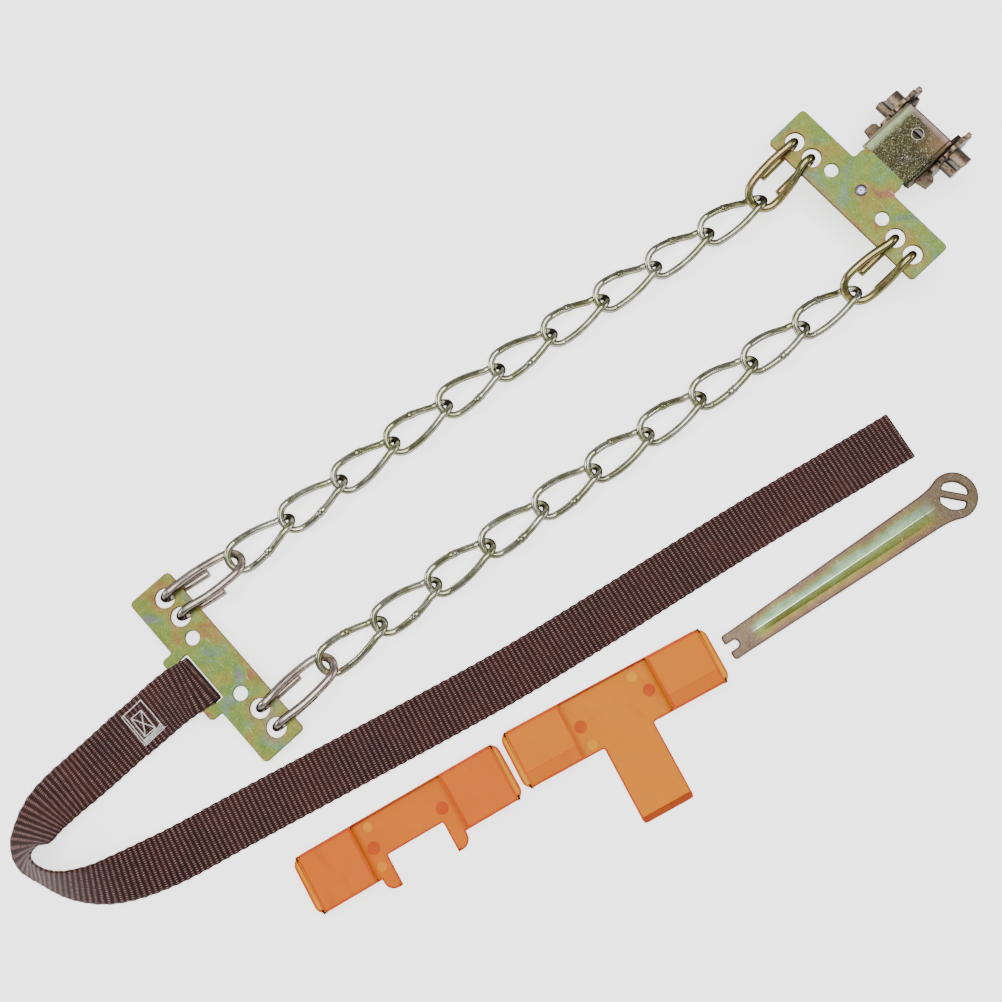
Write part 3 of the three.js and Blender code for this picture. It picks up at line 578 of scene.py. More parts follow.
def tongue_material():
    """Dark speckled zinc, with a painted highlight in silver and rose along the bend on one side, and pale
    across the far end.
    """
    n = Nodes("tongue_zinc")
    x, y = n.weave()
    wander = n.drift(300, 3, 0.6, -0.5, 0.5)
    colour = n.ramp(n.noise(90, 3, 0.6, 0.6), TONGUE_TINTS)
    colour = flecked(n, colour, 0.75, (0.06, 0.06, 0.03))
    brown = n.times(n.spread(x, 36, 48, 0.0, 0.8), n.spread(y, 0, -10))
    colour = n.mix(brown, colour, (0.50, 0.38, 0.28))
    # Painted highlight: a silver band, then a rose one on the bend itself, on one side only.
    bend_highlight = n.spread(n.math("ADD", y, wander), 8.6, 12.4, 0.0, 0.85)
    colour = n.mix(bend_highlight, colour, (0.66, 0.72, 0.54))
    bend_highlight_rose = n.spread(n.math("ADD", y, wander), 13.6, 14.6, 0.0, 0.8)
    colour = n.mix(bend_highlight_rose, colour, (0.74, 0.58, 0.54))
    far = n.spread(n.math("ADD", x, wander), 47.6, 49.6, 0.0, 0.7)
    colour = n.mix(far, colour, (0.62, 0.54, 0.52))
    colour = scratched(n, colour, 0.3)
    return metal_surface(n, n.edge_shade_and_welds(colour, 0.4, ZINC_EDGE_SHADE), 0.34, 0.5)


def key_material():
    """Brown-grey zinc, green and gold beside a crisp crease, with a painted highlight along one side of the
    crease and painted shade along the other.
    """
    n = Nodes("key_zinc")
    x, y = n.weave()
    colour = n.ramp(n.noise(85, 3, 0.55, 0.5), [
        (0.25, (0.34, 0.26, 0.22)), (0.45, (0.40, 0.33, 0.28)),
        (0.62, (0.38, 0.33, 0.24)), (0.80, (0.44, 0.34, 0.33)),
    ])
    inside = n.times(n.spread(x, 13, 18), n.spread(x, 122, 113))
    reach = n.spread(x, 10, 116, 4.4, 7.0)
    wander = n.drift(60, 2, 0.5, -1.0, 1.0)
    offset = n.math("DIVIDE", n.math("ADD", y, wander), reach)
    bands = n.ramp(n.spread(offset, -1.25, 1.25), [
        (0.04, (0.42, 0.31, 0.27)), (0.18, (0.50, 0.42, 0.22)), (0.34, (0.43, 0.48, 0.20)),
        (0.47, (0.48, 0.55, 0.30)), (0.55, (0.58, 0.72, 0.52)), (0.68, (0.48, 0.60, 0.50)),
        (0.82, (0.45, 0.45, 0.24)), (0.96, (0.42, 0.32, 0.28)),
    ])
    colour = n.mix(n.times(inside, 0.9), colour, bands)
    # Painted highlight along one side of the crease, as if lit from that side.
    from_highlight_line = n.math("ABSOLUTE", n.math("SUBTRACT", y, 0.22))
    from_shade_line = n.math("ABSOLUTE", n.math("ADD", y, 0.20))
    pale = n.times(n.spread(from_highlight_line, 0.10, 0.26, 1.0, 0.0), inside)
    colour = n.mix(pale, colour, (0.97, 0.98, 0.94))
    # Painted shade along the other side of the crease.
    dark = n.times(n.spread(from_shade_line, 0.12, 0.28, 1.0, 0.0), inside)
    colour = n.mix(n.times(dark, 0.85), colour, (0.16, 0.13, 0.08))
    colour = scratched(n, flecked(n, colour, 0.25), 0.35)
    return metal_surface(n, n.edge_shade_and_welds(colour, 0.7, (0.20, 0.14, 0.10)), 0.34, 0.5)


def webbing_material():
    """Ribs across the strap, each a row of small floats painted pale as a highlight, with painted shade in
    the grooves between them.
    """
    n = Nodes("webbing")
    across, along = n.weave()
    wobble = n.drift(260, 2, 0.5, -0.10, 0.10)
    row = n.math("COSINE", n.times(n.math("ADD", along, wobble), 2 * pi / RIB))
    column = n.math("COSINE", n.times(n.math("ADD", across, wobble), 2 * pi / 1.05))
    crest = n.spread(row, -0.1, 0.75)
    dots = n.times(crest, n.spread(column, 0.0, 0.85))
    yarn = n.noise(3800, 3, 0.6)
    # Patchy strength of the painted highlight on the floats.
    highlight_patchiness = n.spread(n.noise(700, 3, 0.6), 0.35, 0.6, 0.35, 1.0)
    tint = n.ramp(n.noise(45, 3, 0.6), [(0.3, (0.16, 0.065, 0.05)), (0.7, (0.22, 0.095, 0.08))])
    # The pale colour is a painted highlight on the raised floats.
    pale = n.mix(yarn, (0.50, 0.33, 0.31), (0.86, 0.69, 0.66))
    colour = n.mix(n.times(n.times(dots, highlight_patchiness), 0.85), tint, pale)
    # Painted shade in the grooves between the ribs.
    uneven = n.spread(n.noise(120, 3, 0.6), 0.35, 0.65, 0.25, 0.9)
    painted_groove_shade = n.times(n.spread(row, -0.45, -0.98), uneven)
    colour = n.mix(painted_groove_shade, colour, (0.06, 0.02, 0.015))
    height = n.math("ADD", n.times(dots, 0.35), n.times(row, 0.35))
    height = n.math("ADD", height, n.times(yarn, 0.2))
    normal = n.bump(height, 0.8, 0.0003)
    roughness = n.spread(yarn, 0.3, 0.7, 0.68, 0.9)
    return n.finish(colour, roughness, normal, Sheen_Weight=0.06, Specular_IOR_Level=0.25)


def thread_material():
    n = Nodes("thread")
    twist = n.new("TexWave", Scale=900.0, Distortion=1.5)
    n.link(n.place, twist.inputs["Vector"])
    colour = n.mix(twist.outputs["Fac"], (0.78, 0.76, 0.76), (0.97, 0.96, 0.96))
    soil = n.noise(400, 3, 0.6)
    colour = n.mix(n.spread(soil, 0.55, 0.75, 0.0, 0.4), colour, (0.55, 0.50, 0.50))
    normal = n.bump(twist.outputs["Fac"], 0.6, 0.0001)
    return n.finish(colour, n.spread(soil, 0.3, 0.7, 0.55, 0.8), normal)


def cover_material(name, body, pocket, rim):
    """Moulded plastic, deeper at walls and rims; tones pick body, pocket, rim and the pale lips, and the
    darkest stop, reached at the bevels of walls, tip and back rim, is painted edge shade.
    """
    n = Nodes(name)
    tone = n.attribute("tone").outputs["Fac"]
    # The darkest stop, at 1.0, is painted shade along bevelled edges.
    colour = n.ramp(tone, [
        (0.0, body), (0.30, pocket), (0.5, (0.82, 0.30, 0.0)),
        (0.8, rim), (1.0, (0.60, 0.12, 0.0)),
    ])
    lips = n.spread(tone, -0.1, -0.6)
    colour = n.mix(lips, colour, (0.98, 0.66, 0.04))
    cloud = n.noise(55, 3, 0.55, 0.4)
    colour = n.mix(n.spread(cloud, 0.35, 0.7, 0.0, 0.2), colour, (0.88, body[1] * 1.08, 0.0))
    flow = n.noise(160, 3, 0.5, 0.3, n.stretch(0.25, 0.3))
    colour = n.mix(n.spread(flow, 0.6, 0.75, 0.0, 0.2), colour, rim)
    motes = n.noise(1700, 2, 0.5)
    colour = n.mix(n.spread(motes, 0.74, 0.78, 0.0, 0.4), colour, (0.72, 0.25, 0.02))
    normal = n.bump(n.noise(700, 3, 0.5), 0.06, 0.0001, n.bump(n.noise(45, 2, 0.5), 0.15, 0.0004))
    return n.finish(colour, n.drift(120, 3, 0.5, 0.38, 0.5), normal,
                    Subsurface_Weight=0.08, Subsurface_Scale=0.002, Subsurface_Radius=(1.0, 0.4, 0.05),
                    Specular_IOR_Level=0.12)


RIB = 2.35                       # from one row of the weave to the next, along the strap
strap_plate_zinc = plate_material("strap_plate_zinc", 1.0)
ratchet_plate_zinc = plate_material("ratchet_plate_zinc", -1.0)
tongue_zinc = tongue_material()
# The grazing_shade amounts and edge tints below set each finish's painted edge shade; the ratchet's strong
# one also darkens its tooth gaps.
flange_zinc = zinc_material("flange_zinc", FLANGE_TINTS, 210, rough=0.34, fleck=0.3, grazing_shade=0.7)
ratchet_zinc = zinc_material("ratchet_zinc", RATCHET_TINTS, 330, rough=0.34, fleck=0.3, grazing_shade=0.9,
                             edge=(0.10, 0.05, 0.03), metallic=0.6)
lip_highlight_zinc = zinc_material("lip_highlight_zinc", LIP_HIGHLIGHT_TINTS, 200, rough=0.24, fleck=0.1, scratch=0.2, grazing_shade=0.5)
link_zinc = zinc_material("link_zinc", LINK_TINTS, 60, rough=0.2, fleck=0.16, scratch=0.25, grazing_shade=0.97,
                          edge=(0.13, 0.12, 0.06))
gold_hook = zinc_material("gold_hook", GOLD_HOOK_TINTS, 80, rough=0.22, fleck=0.16, scratch=0.25,
                          grazing_shade=0.95, edge=(0.18, 0.10, 0.05))
silver_hook = zinc_material("silver_hook", SILVER_HOOK_TINTS, 80, rough=0.24, fleck=0.16, scratch=0.25,
                            grazing_shade=0.95, edge=(0.14, 0.11, 0.08))
rivet_steel = zinc_material("rivet_steel", RIVET_TINTS, 200, rough=0.34)
key_zinc = key_material()
webbing = webbing_material()
thread = thread_material()
cover_orange = cover_material("cover_orange", (0.86, 0.50, 0.0), (0.86, 0.46, 0.0), (0.74, 0.22, 0.0))
cover_deep = cover_material("cover_deep", (0.86, 0.44, 0.0), (0.86, 0.41, 0.0), (0.72, 0.18, 0.0))


# ---- strap ----
STATION_STEP, STRAP_COLUMNS = 0.35, 20


def band(route):
    """Webbing along a route: ribbed faces, rounded scalloped edges and flat cut ends."""
    line = curve_points(route, 60)
    spots = [0.0]
    for a, b in zip(line, line[1:]):
        spots.append(spots[-1] + dist(a[:3], b[:3]))
    total = spots[-1]
    count = int(total / STATION_STEP)
    stations, k = [], 0
    for i in range(count + 1):
        s = total * i / count
        while k < len(spots) - 2 and spots[k + 1] < s:
            k += 1
        w = (s - spots[k]) / max(spots[k + 1] - spots[k], 1e-9)
        stations.append([a * (1 - w) + b * w for a, b in zip(line[k], line[k + 1])])
    half = STRAP_WIDTH / 2
    spread = [half * (1 - 2 * i / STRAP_COLUMNS) for i in range(STRAP_COLUMNS + 1)]
    section = [(u, 1) for u in spread] + [(-u, -1) for u in spread]
    verts, weave = [], []
    for i, (x, y, z, tip) in enumerate(stations):
        a, b = stations[max(i - 1, 0)], stations[min(i + 1, count)]
        tangent = (Vector(b[:3]) - Vector(a[:3])).normalized()
        left = Vector((-tangent.y, tangent.x, 0))
        if left.length < 0.3:
            left = Vector((0, -1, 0))
        left.normalize()
        across = left * cos(rad(tip)) + Vector((0, 0, sin(rad(tip))))
        across = (across - tangent * across.dot(tangent)).normalized()
        normal = tangent.cross(across).normalized()
        along = total * i / count
        rib = cos(2 * pi * along / RIB)
        for u, side in section:
            rim = max(0.0, (abs(u) - (half - 1.0)) / 1.0)
            thick = STRAP_THICK / 2 * (1 - 0.55 * rim ** 2) - 0.16 * (0.5 - 0.5 * rib)
            scallop = 0.5 - 0.5 * cos(pi * along / RIB)
            u_here = u * (1 - 0.026 * scallop)
            verts.append(Vector((x, y, z)) + across * u_here + normal * side * thick)
            weave.append((u, along))
    ring_size = len(section)
    faces = grid_faces(count + 1, ring_size)
    flat = [False] * len(faces) + [True, True]
    faces.append(list(range(ring_size))[::-1])
    faces.append([count * ring_size + k for k in range(ring_size)])
    return Shape().add(verts, faces, flat, weave=weave), [s[:3] for s in stations]


strap_shape, strap_line = band(STRAP_ROUTE)
loop_shape, _ = band(LOOP_ROUTE)
strap = make_object("strap_webbing", strap_shape, webbing, "strap_end", ["strap"])
strap_loop = make_object("strap_loop_webbing", loop_shape, webbing, "strap_end", ["strap_loop"])


THREAD_RADIUS = 0.26


def strap_surface(x, y):
    """The top of the strap where it runs straight out of its plate, at the layout point x, y."""
    near = min(strap_line, key=lambda p: abs(p[0] - x) + (100 if p[1] < 10 else 0))
    return Vector((x, y, near[2] + STRAP_THICK / 2))


def stitched_line(shape, start, end, step=1.9):
    """A row of sewn stitches, each a short arch of thread."""
    a, b = Vector(start), Vector(end)
    count = max(1, round((b - a).length / step))
    for i in range(count):
        p, q = a.lerp(b, (i + 0.04) / count), a.lerp(b, (i + 0.96) / count)
        wobble = Vector((random.uniform(-0.12, 0.12), random.uniform(-0.12, 0.12)))
        points = []
        for k in range(7):
            t = k / 6
            arch = sin(pi * t)
            spot = p.lerp(q, t) + wobble * arch
            points.append(strap_surface(spot.x, spot.y) + Vector((0, 0, 0.22 * arch - 0.05)))
        shape.add(*tube(points, THREAD_RADIUS, 7))


def add_stitching():
    """A sewn box with a second box and a cross inside it, its end thread run back a few times."""
    shape = Shape()
    x0, x1, y0, y1 = -237.0, -225.2, 14.2, 31.4
    outer = box(x0, y0, x1, y1)
    inner = [(x0 + 2.6, y0 + 3.2), (x1 - 3.2, y0 + 3.0), (x1 - 3.0, y1 - 3.6), (x0 + 2.8, y1 - 3.4)]
    for loop in (outer, inner):
        for a, b in zip(loop, loop[1:] + loop[:1]):
            stitched_line(shape, a, b)
    stitched_line(shape, inner[0], inner[2])
    stitched_line(shape, inner[1], inner[3])
    for offset in (0.7, 1.4, 2.1):
        stitched_line(shape, (x0 + 0.6, y0 + offset), (x1 + 0.6 - offset, y0 + offset + 0.2))
    for _ in range(18):
        x, y = random.uniform(x0 + 1, x1), random.uniform(y0 - 0.5, y0 + 2.4)
        stitched_line(shape, (x, y), (x + random.uniform(1.0, 2.0), y + random.uniform(-0.9, 0.9)), 1.6)
    stitched_line(shape, (x0 + 1.0, y0), (x0 + 1.1, y1))
    return make_object("box_stitching", shape, thread, "strap_end")


stitching = add_stitching()
tuple(kit_matrix() @ Vector(strap_line[0]))
[tuple(kit_matrix() @ Vector(p)) for p in strap_line[::4] + [strap_line[-1]]]


# ---- chains ----
def chain_joint(letter, k):
    middle, bow, _ = CHAINS[letter]
    x = CHAIN_START + CHAIN_STEP * k
    lifted = max(0, k - (LINKS - 3)) / 3
    return Vector((x, middle - 0.123 * x - bow * (x / 154) ** 2, CHAIN_Z + 2.4 * lifted ** 2))


WELD_SIDES = {"a": (-1, -1, 1, 1, -1, -1, 1, 1, 1, 1), "b": (1, -1, 1, -1, -1, 1, 1, -1, -1, 1)}
LINK_BOW, LINK_WIRE, LINK_PLAY = 7.0, 1.7, 0.6


def link_shape(length, weld_side, seed):
    """A twisted link of round wire, its butt weld a lumpy collar in the middle of one side."""
    dice = random.Random(seed)
    centre = length / 2 - LINK_BOW
    points, weld = [], []
    straight, turns = 44, 16
    for half in (1, -1):
        for i in range(straight):
            points.append((half * centre * (1 - 2 * i / straight), half * LINK_BOW))
        for i in range(turns):
            turn = pi * i / turns
            x = -centre - LINK_BOW * sin(turn)
            points.append((half * x, half * LINK_BOW * cos(turn)))
    line = []
    for x, across in points:
        along = min(1, max(0, (x + centre) / (2 * centre)))
        roll = rad(20) - rad(70) * along
        line.append(Vector((x, across * cos(roll), across * sin(roll))))
        on_side = across * weld_side > LINK_BOW * 0.95
        collar = 0.45 * exp(-(x / 1.1) ** 2)
        for at in (-1.0, 1.1):
            collar += exp(-((x - at) / 0.5) ** 2)
        weld.append(min(1.0, collar) if on_side else 0.0)
    lumps = [dice.uniform(0.8, 1.1) for _ in line]

    def radius(i):
        return LINK_WIRE * (0.985 + 0.2 * weld[i] * lumps[i])

    return tube(line, radius, 14, closed=True, tones=lambda i: 0.35 * weld[i])


def add_chain(letter):
    for k in range(LINKS):
        start, end = chain_joint(letter, k), chain_joint(letter, k + 1)
        along = end - start
        x = along.normalized()
        z = (Vector((0, 0, 1)) - x * x.z).normalized()
        y = z.cross(x)
        place = Matrix((x, y, z)).transposed().to_4x4()
        place.translation = (start + end) / 2
        length = along.length + 2 * (LINK_WIRE + LINK_PLAY)
        link = link_shape(length, WELD_SIDES[letter][k], 31 * k + ord(letter))
        name = f"link_{letter}{k + 1}"
        make_object("wire_" + name, Shape().add(*link, matrix=place), link_zinc, name, [name])


for letter in CHAINS:
    add_chain(letter)

# ---- hooks ----
HOOK_WIRE, HOOK_BEND, HOOK_BOW, HOOK_TAIL = 2.0, 5.0, 8.0, 22.0


def hook_path(holes, joint, toward, pitch, roll, aside=0.0):
    """A double hook: up through two holes, along to a bow round the chain's end and back again."""
    out = Vector((toward * cos(pitch), 0, -sin(pitch)))
    up = Vector((toward * sin(pitch), 0, cos(pitch)))
    across = Vector((0, 1, 0))
    half = (HOOK_HOLES_AT[0] - HOOK_HOLES_AT[1]) / 2

    def at(u, v, w):
        return holes + out * u + across * v + up * w

    leg_root = at(HOOK_BEND, 0, HOOK_BEND)
    bow_end = joint + Vector((toward * (HOOK_WIRE + 1.2), 0, 0))
    along = (bow_end - leg_root).normalized()
    side = (across - along * along.y).normalized()
    lift = along.cross(side) * toward
    rolled = side * cos(roll) + lift * sin(roll)
    centre = bow_end - along * HOOK_BOW
    ends = []
    for sign in (1, -1):
        path = [at(HOOK_TAIL, sign * half + aside, -HOOK_BEND),
                at(HOOK_TAIL / 2, sign * half + aside * 0.4, -HOOK_BEND)]
        for turn in fan(0, pi, 5):
            path.append(at(HOOK_BEND * (1 - sin(turn)), sign * half, -HOOK_BEND * cos(turn)))
        root = at(HOOK_BEND, sign * half, HOOK_BEND)
        path.append(root.lerp(centre + rolled * sign * HOOK_BOW, 0.45) + across * sign * 0.8)
        ends.append(path)
    bow = [centre + (rolled * cos(turn) + along * sin(turn)) * HOOK_BOW for turn in fan(0, pi, 6)]
    return curve_points(ends[0] + bow + ends[1][::-1], 7)


def add_hook(name, path, material, body):
    shape = Shape().add(*tube(path, HOOK_WIRE, 18))
    make_object("wire_" + name, shape, material, body, [name])


pair = Vector((0, (HOOK_HOLES_AT[0] + HOOK_HOLES_AT[1]) / 2, 0))
for letter, (_, _, sign) in CHAINS.items():
    near = hook_path(STRAP_PLATE + pair * sign, chain_joint(letter, 0), 1, 0, rad(-33),
                     -3.0 if sign > 0 else 0.0)
    far = hook_path(RATCHET_PLATE + pair * sign, chain_joint(letter, LINKS), -1, rad(18), rad(24))
    add_hook("strap_hook_" + letter, near, silver_hook, "near_hook_" + letter)
    add_hook("ratchet_hook_" + letter, far, gold_hook, "far_hook_" + letter)


# ---- plates ----
def bar_holes(toward):
    holes = []
    for sign in (1, -1):
        holes += [ring(0, sign * y, HOOK_HOLE) for y in HOOK_HOLES_AT]
        holes.append(ring(-toward * SPARE_HOLE_OUT, sign * SPARE_HOLE_AT, SPARE_HOLE, 32))
    return holes


def add_strap_plate():
    outer = rounded(mirrored([
        (PLATE_NEAR, PLATE_HALF, 2.2), (-PLATE_FAR, PLATE_HALF, 2.2),
        (-PLATE_FAR, TAB_HALF, 1.2), (-TAB_OUT, TAB_HALF, 2.2),
    ]))
    slot = rounded([(x, y, 0.9) for x, y in box(-9.1, -13.2, -13.6, 13.2)])
    shape = Shape().add(*slab(outer, bar_holes(1) + [slot], -1, 1, 0.32))
    make_object("strap_plate_steel", shape, strap_plate_zinc, "strap_end", ["strap_plate"],
                shift(STRAP_PLATE))


RATCHET = shift(RATCHET_PLATE) @ turn_about("Y", -RATCHET_TILT)
UPRIGHT = turn_about("X", pi / 2)      # a slab drawn in X and Z, its depth towards -Y
PAWL_WAY = Vector((cos(-RATCHET_TILT), 0, sin(-RATCHET_TILT)))
PAWL_EDGE = SPINDLE - PAWL_WAY * PAWL_TIP


def along_pawl(front, back, half_height):
    normal = Vector((-PAWL_WAY.z, 0, PAWL_WAY.x))
    corners = ((front, -half_height), (front, half_height), (-back, half_height), (-back, -half_height))
    return [tuple((PAWL_EDGE + PAWL_WAY * u + normal * w).xz) for u, w in corners]


def bent_corner(sign, wide, bend, start, end):
    """The quarter round along one side of the tongue, its ends a little eased."""
    verts = []
    turns = fan(0, pi / 2, 8)
    for x, pull in ((start, 0.2), (start + 0.8, 0), (end - 0.3, 0), (end, 0.2)):
        arc = [(turn, bend - pull) for turn in turns] + [(turn, 0.25 + pull) for turn in reversed(turns)]
        verts += [(x, sign * (wide - bend + r * sin(turn)), 1 - bend + r * cos(turn)) for turn, r in arc]
    size = 2 * len(turns)
    faces = [face[::-1] for face in grid_faces(4, size)]
    faces += [list(range(size)), list(range(4 * size - 1, 3 * size - 1, -1))]
    flat = [False] * (len(faces) - 2) + [True, True]
    return verts, [face[::sign] for face in faces], flat


def add_ratchet_plate():
    neck, wide, flare, end, ear = 13.3, 14.9, 21.0, 50.6, 9.5
    bend, mid = 2.2, TONGUE_ASIDE
    outer = rounded([
        (-PLATE_NEAR, -PLATE_HALF, 2.2), (PLATE_FAR, -PLATE_HALF, 2.2), (PLATE_FAR, mid - neck, 1.6),
        (flare - 2, mid - neck, 1.2), (flare - 1, mid - wide + bend), (flare + 1.2, mid - wide + bend),
        (flare + 1.2, mid + wide - bend), (flare - 1, mid + wide - bend), (flare - 2, mid + neck, 1.2),
        (PLATE_FAR, mid + neck, 1.6), (PLATE_FAR, PLATE_HALF, 2.2), (-PLATE_NEAR, PLATE_HALF, 2.2),
    ])
    bar = Shape().add(*slab(outer, bar_holes(-1) + [ring(RIVET_AT, 0, 2.3, 24)], -1, 1, 0.32))
    make_object("ratchet_bar_steel", bar, ratchet_plate_zinc, "ratchet_plate", ["ratchet_plate"],
                RATCHET)

    aside = shift((0, mid, 0))
    tongue, flanges = Shape(), Shape()
    top = box(flare + 0.6, bend - wide, end, wide - bend)
    tongue.add(*slab(top, [ring(TONGUE_HOLE_AT, 0, 2.8, 32)], -1, 1, 0.12), matrix=aside)
    for sign in (1, -1):
        tongue.add(*bent_corner(sign, wide, bend, flare, end), matrix=aside)
        outline = rounded([
            (flare + 1.5, 1 - bend), (flare + 4, -12, 3), (34, -20, 4),
            (SPINDLE.x - ear, SPINDLE.z - ear, 3), (SPINDLE.x + ear, SPINDLE.z - ear, 8),
            (SPINDLE.x + ear, SPINDLE.z + ear, 8), (end, -3.2, 1.6), (end, 1 - bend),
        ])
        holes = [ring(SPINDLE.x, SPINDLE.z, SPINDLE_R + 0.35), along_pawl(0.4, PAWL_LENGTH + 2.5, 1.4)]
        depth = (-wide, -wide + 2) if sign > 0 else (wide - 2, wide)
        flanges.add(*slab(outline, holes, *depth, 0.3), matrix=aside @ UPRIGHT)
    profile = [(2.68, 0.6), (2.68, 1.1), (2.80, 1.28), (2.96, 1.28), (3.12, 1.1), (3.2, 0.9), (3.0, 0.7)]
    lip = Shape().add(*turned(profile, 36), matrix=shift((TONGUE_HOLE_AT, mid, 0)))
    for name, shape, material in (("ratchet_tongue_steel", tongue, tongue_zinc),
                                  ("ratchet_flanges_steel", flanges, flange_zinc),
                                  ("tongue_hole_lip", lip, lip_highlight_zinc)):
        make_object(name, shape, material, "ratchet_plate", (), RATCHET)


def turned(profile, sides):
    """A closed ring of revolution about Z, from a profile of (radius, z) that closes on itself."""
    verts = []
    for k in range(sides):
        c, s = cos(2 * pi * k / sides), sin(2 * pi * k / sides)
        verts += [(r * c, r * s, z) for r, z in profile]
    return verts, grid_faces(sides, len(profile), wrap_rows=True)


LEAF_UNDER, LEAF_THICK, LEAF_WIDTH = -1.65, 0.56, 8.8


def add_rivet_and_spring():
    profile = [(0.02, 1.95), (1.0, 1.92), (1.9, 1.7), (2.55, 1.45), (2.88, 1.12), (2.0, 1.02), (2.0, -1.2),
               (2.0, -2.3), (2.85, -2.35), (2.85, -2.75), (2.2, -3.3), (0.02, -3.45)]
    rivet = Shape().add(*turned(profile, 28), matrix=shift((RIVET_AT, 0, 0)))
    make_object("plate_rivet_head", rivet, rivet_steel, "ratchet_plate", ["plate_rivet"],
                RATCHET)
    back = PAWL_EDGE - PAWL_WAY * (PAWL_LENGTH + 0.6)
    line = curve_points([
        (1.0, 0, LEAF_UNDER), (9, 0, LEAF_UNDER), (17.5, 0, -1.7), (20.5, 0, -2.7),
        (back.x - 1.2, 0, back.z + 1.4), (back.x - 0.3, 0, back.z), (back.x - 0.3, 0, back.z - 1.4),
    ], 6)
    verts = []
    for i, p in enumerate(line):
        a, b = Vector(line[max(i - 1, 0)]), Vector(line[min(i + 1, len(line) - 1)])
        t = (b - a).normalized()
        n = Vector((-t.z, 0, t.x)) * LEAF_THICK / 2
        for y, s in ((-1, 1), (-1, -1), (1, -1), (1, 1)):
            verts.append(Vector(p) + n * s + Vector((0, y * LEAF_WIDTH / 2, 0)))
    last = len(verts) - 4
    faces = grid_faces(len(line), 4) + [[0, 3, 2, 1], list(range(last, last + 4))]
    leaf = make_object("pawl_leaf", Shape().add(verts, faces), rivet_steel, "ratchet_plate",
                       ["pawl_spring"], RATCHET)
    root = kit_matrix() @ RATCHET @ Vector((RIVET_AT, 0, LEAF_UNDER))
    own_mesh(leaf)


TEETH, WHEEL_THICK = 12, 2.3


def add_ratchet():
    outline = rounded(mirrored([
        (0, PAWL_EARS - 1.5, 1), (-1.8, PAWL_EARS, 0.6), (1.2 - PAWL_LENGTH, PAWL_EARS, 0.6),
        (-PAWL_LENGTH, 15.15),
    ]))
    aside = shift((0, TONGUE_ASIDE, 0))
    lean = shift(PAWL_EDGE) @ turn_about("Y", RATCHET_TILT)
    pawl = Shape().add(*slab(outline, [], -1, 1, 0.28))
    make_object("pawl_bar", pawl, ratchet_zinc, "pawl", ["pawl"], RATCHET @ aside @ lean)

    centre = aside @ shift(SPINDLE)
    pitch = 2 * pi / TEETH
    teeth = []
    for i in range(TEETH):
        at = pi - RATCHET_TILT + i * pitch
        for turn, radius in ((-0.17, 12.3), (0.2, 12.3), (0.36, 14.8), (0.6, 14.6)):
            angle = at + turn * pitch
            teeth.append((radius * cos(angle), radius * sin(angle), 0.35))
    teeth = rounded(teeth, 2)
    bore = ring(0, 0, SPINDLE_R + 0.35, 36)
    for side, near in (("left", 15.5), ("right", -15.5 - WHEEL_THICK)):
        wheel = Shape().add(*slab(teeth, [bore], -near - WHEEL_THICK, -near, 0.28), matrix=centre @ UPRIGHT)
        make_object("wheel_" + side, wheel, ratchet_zinc, "spindle", ["ratchet_wheel_" + side],
                    RATCHET)
    opening = asin(SPINDLE_SLOT / 2 / SPINDLE_R)
    for side, turn, ends in (("front", rad(35), (-25.8, 24.6)), ("rear", rad(215), (-25.0, 26.4))):
        angles = fan(turn - pi / 2 + opening, turn + pi / 2 - opening, 24)
        arc = [(SPINDLE_R * cos(angle), SPINDLE_R * sin(angle)) for angle in angles]
        pin = Shape().add(*slab(arc, [], -ends[1], -ends[0], 0.4), matrix=centre @ UPRIGHT)
        make_object("pin_" + side, pin, ratchet_zinc, "spindle", ["spindle_pin_" + side],
                    RATCHET)


add_strap_plate()
add_ratchet_plate()
add_rivet_and_spring()
add_ratchet()

# ---- covers ----
COVER_HALF, COVER_HEIGHT, COVER_WALL, POCKET_FROM = 14.0, 6.9, 1.3, 23.0


def flat_place(x, y, degrees):
    return shift((x, y, 0)) @ turn_about("Z", rad(degrees))


def lay(shape, outline, bottom, top, bevel, tones, soft=0.0):
    """Add a slab whose tones run over this range."""
    verts, faces, flat, made = slab(outline, [], bottom, top, bevel, soft)
    shape.add(verts, faces, flat, [tones[0] + (tones[1] - tones[0]) * t for t in made])


def pocket_outline(inner, outer, edge, corner):
    return rounded([(inner, -edge), (outer, -edge, corner), (outer, edge, corner), (inner, edge)])


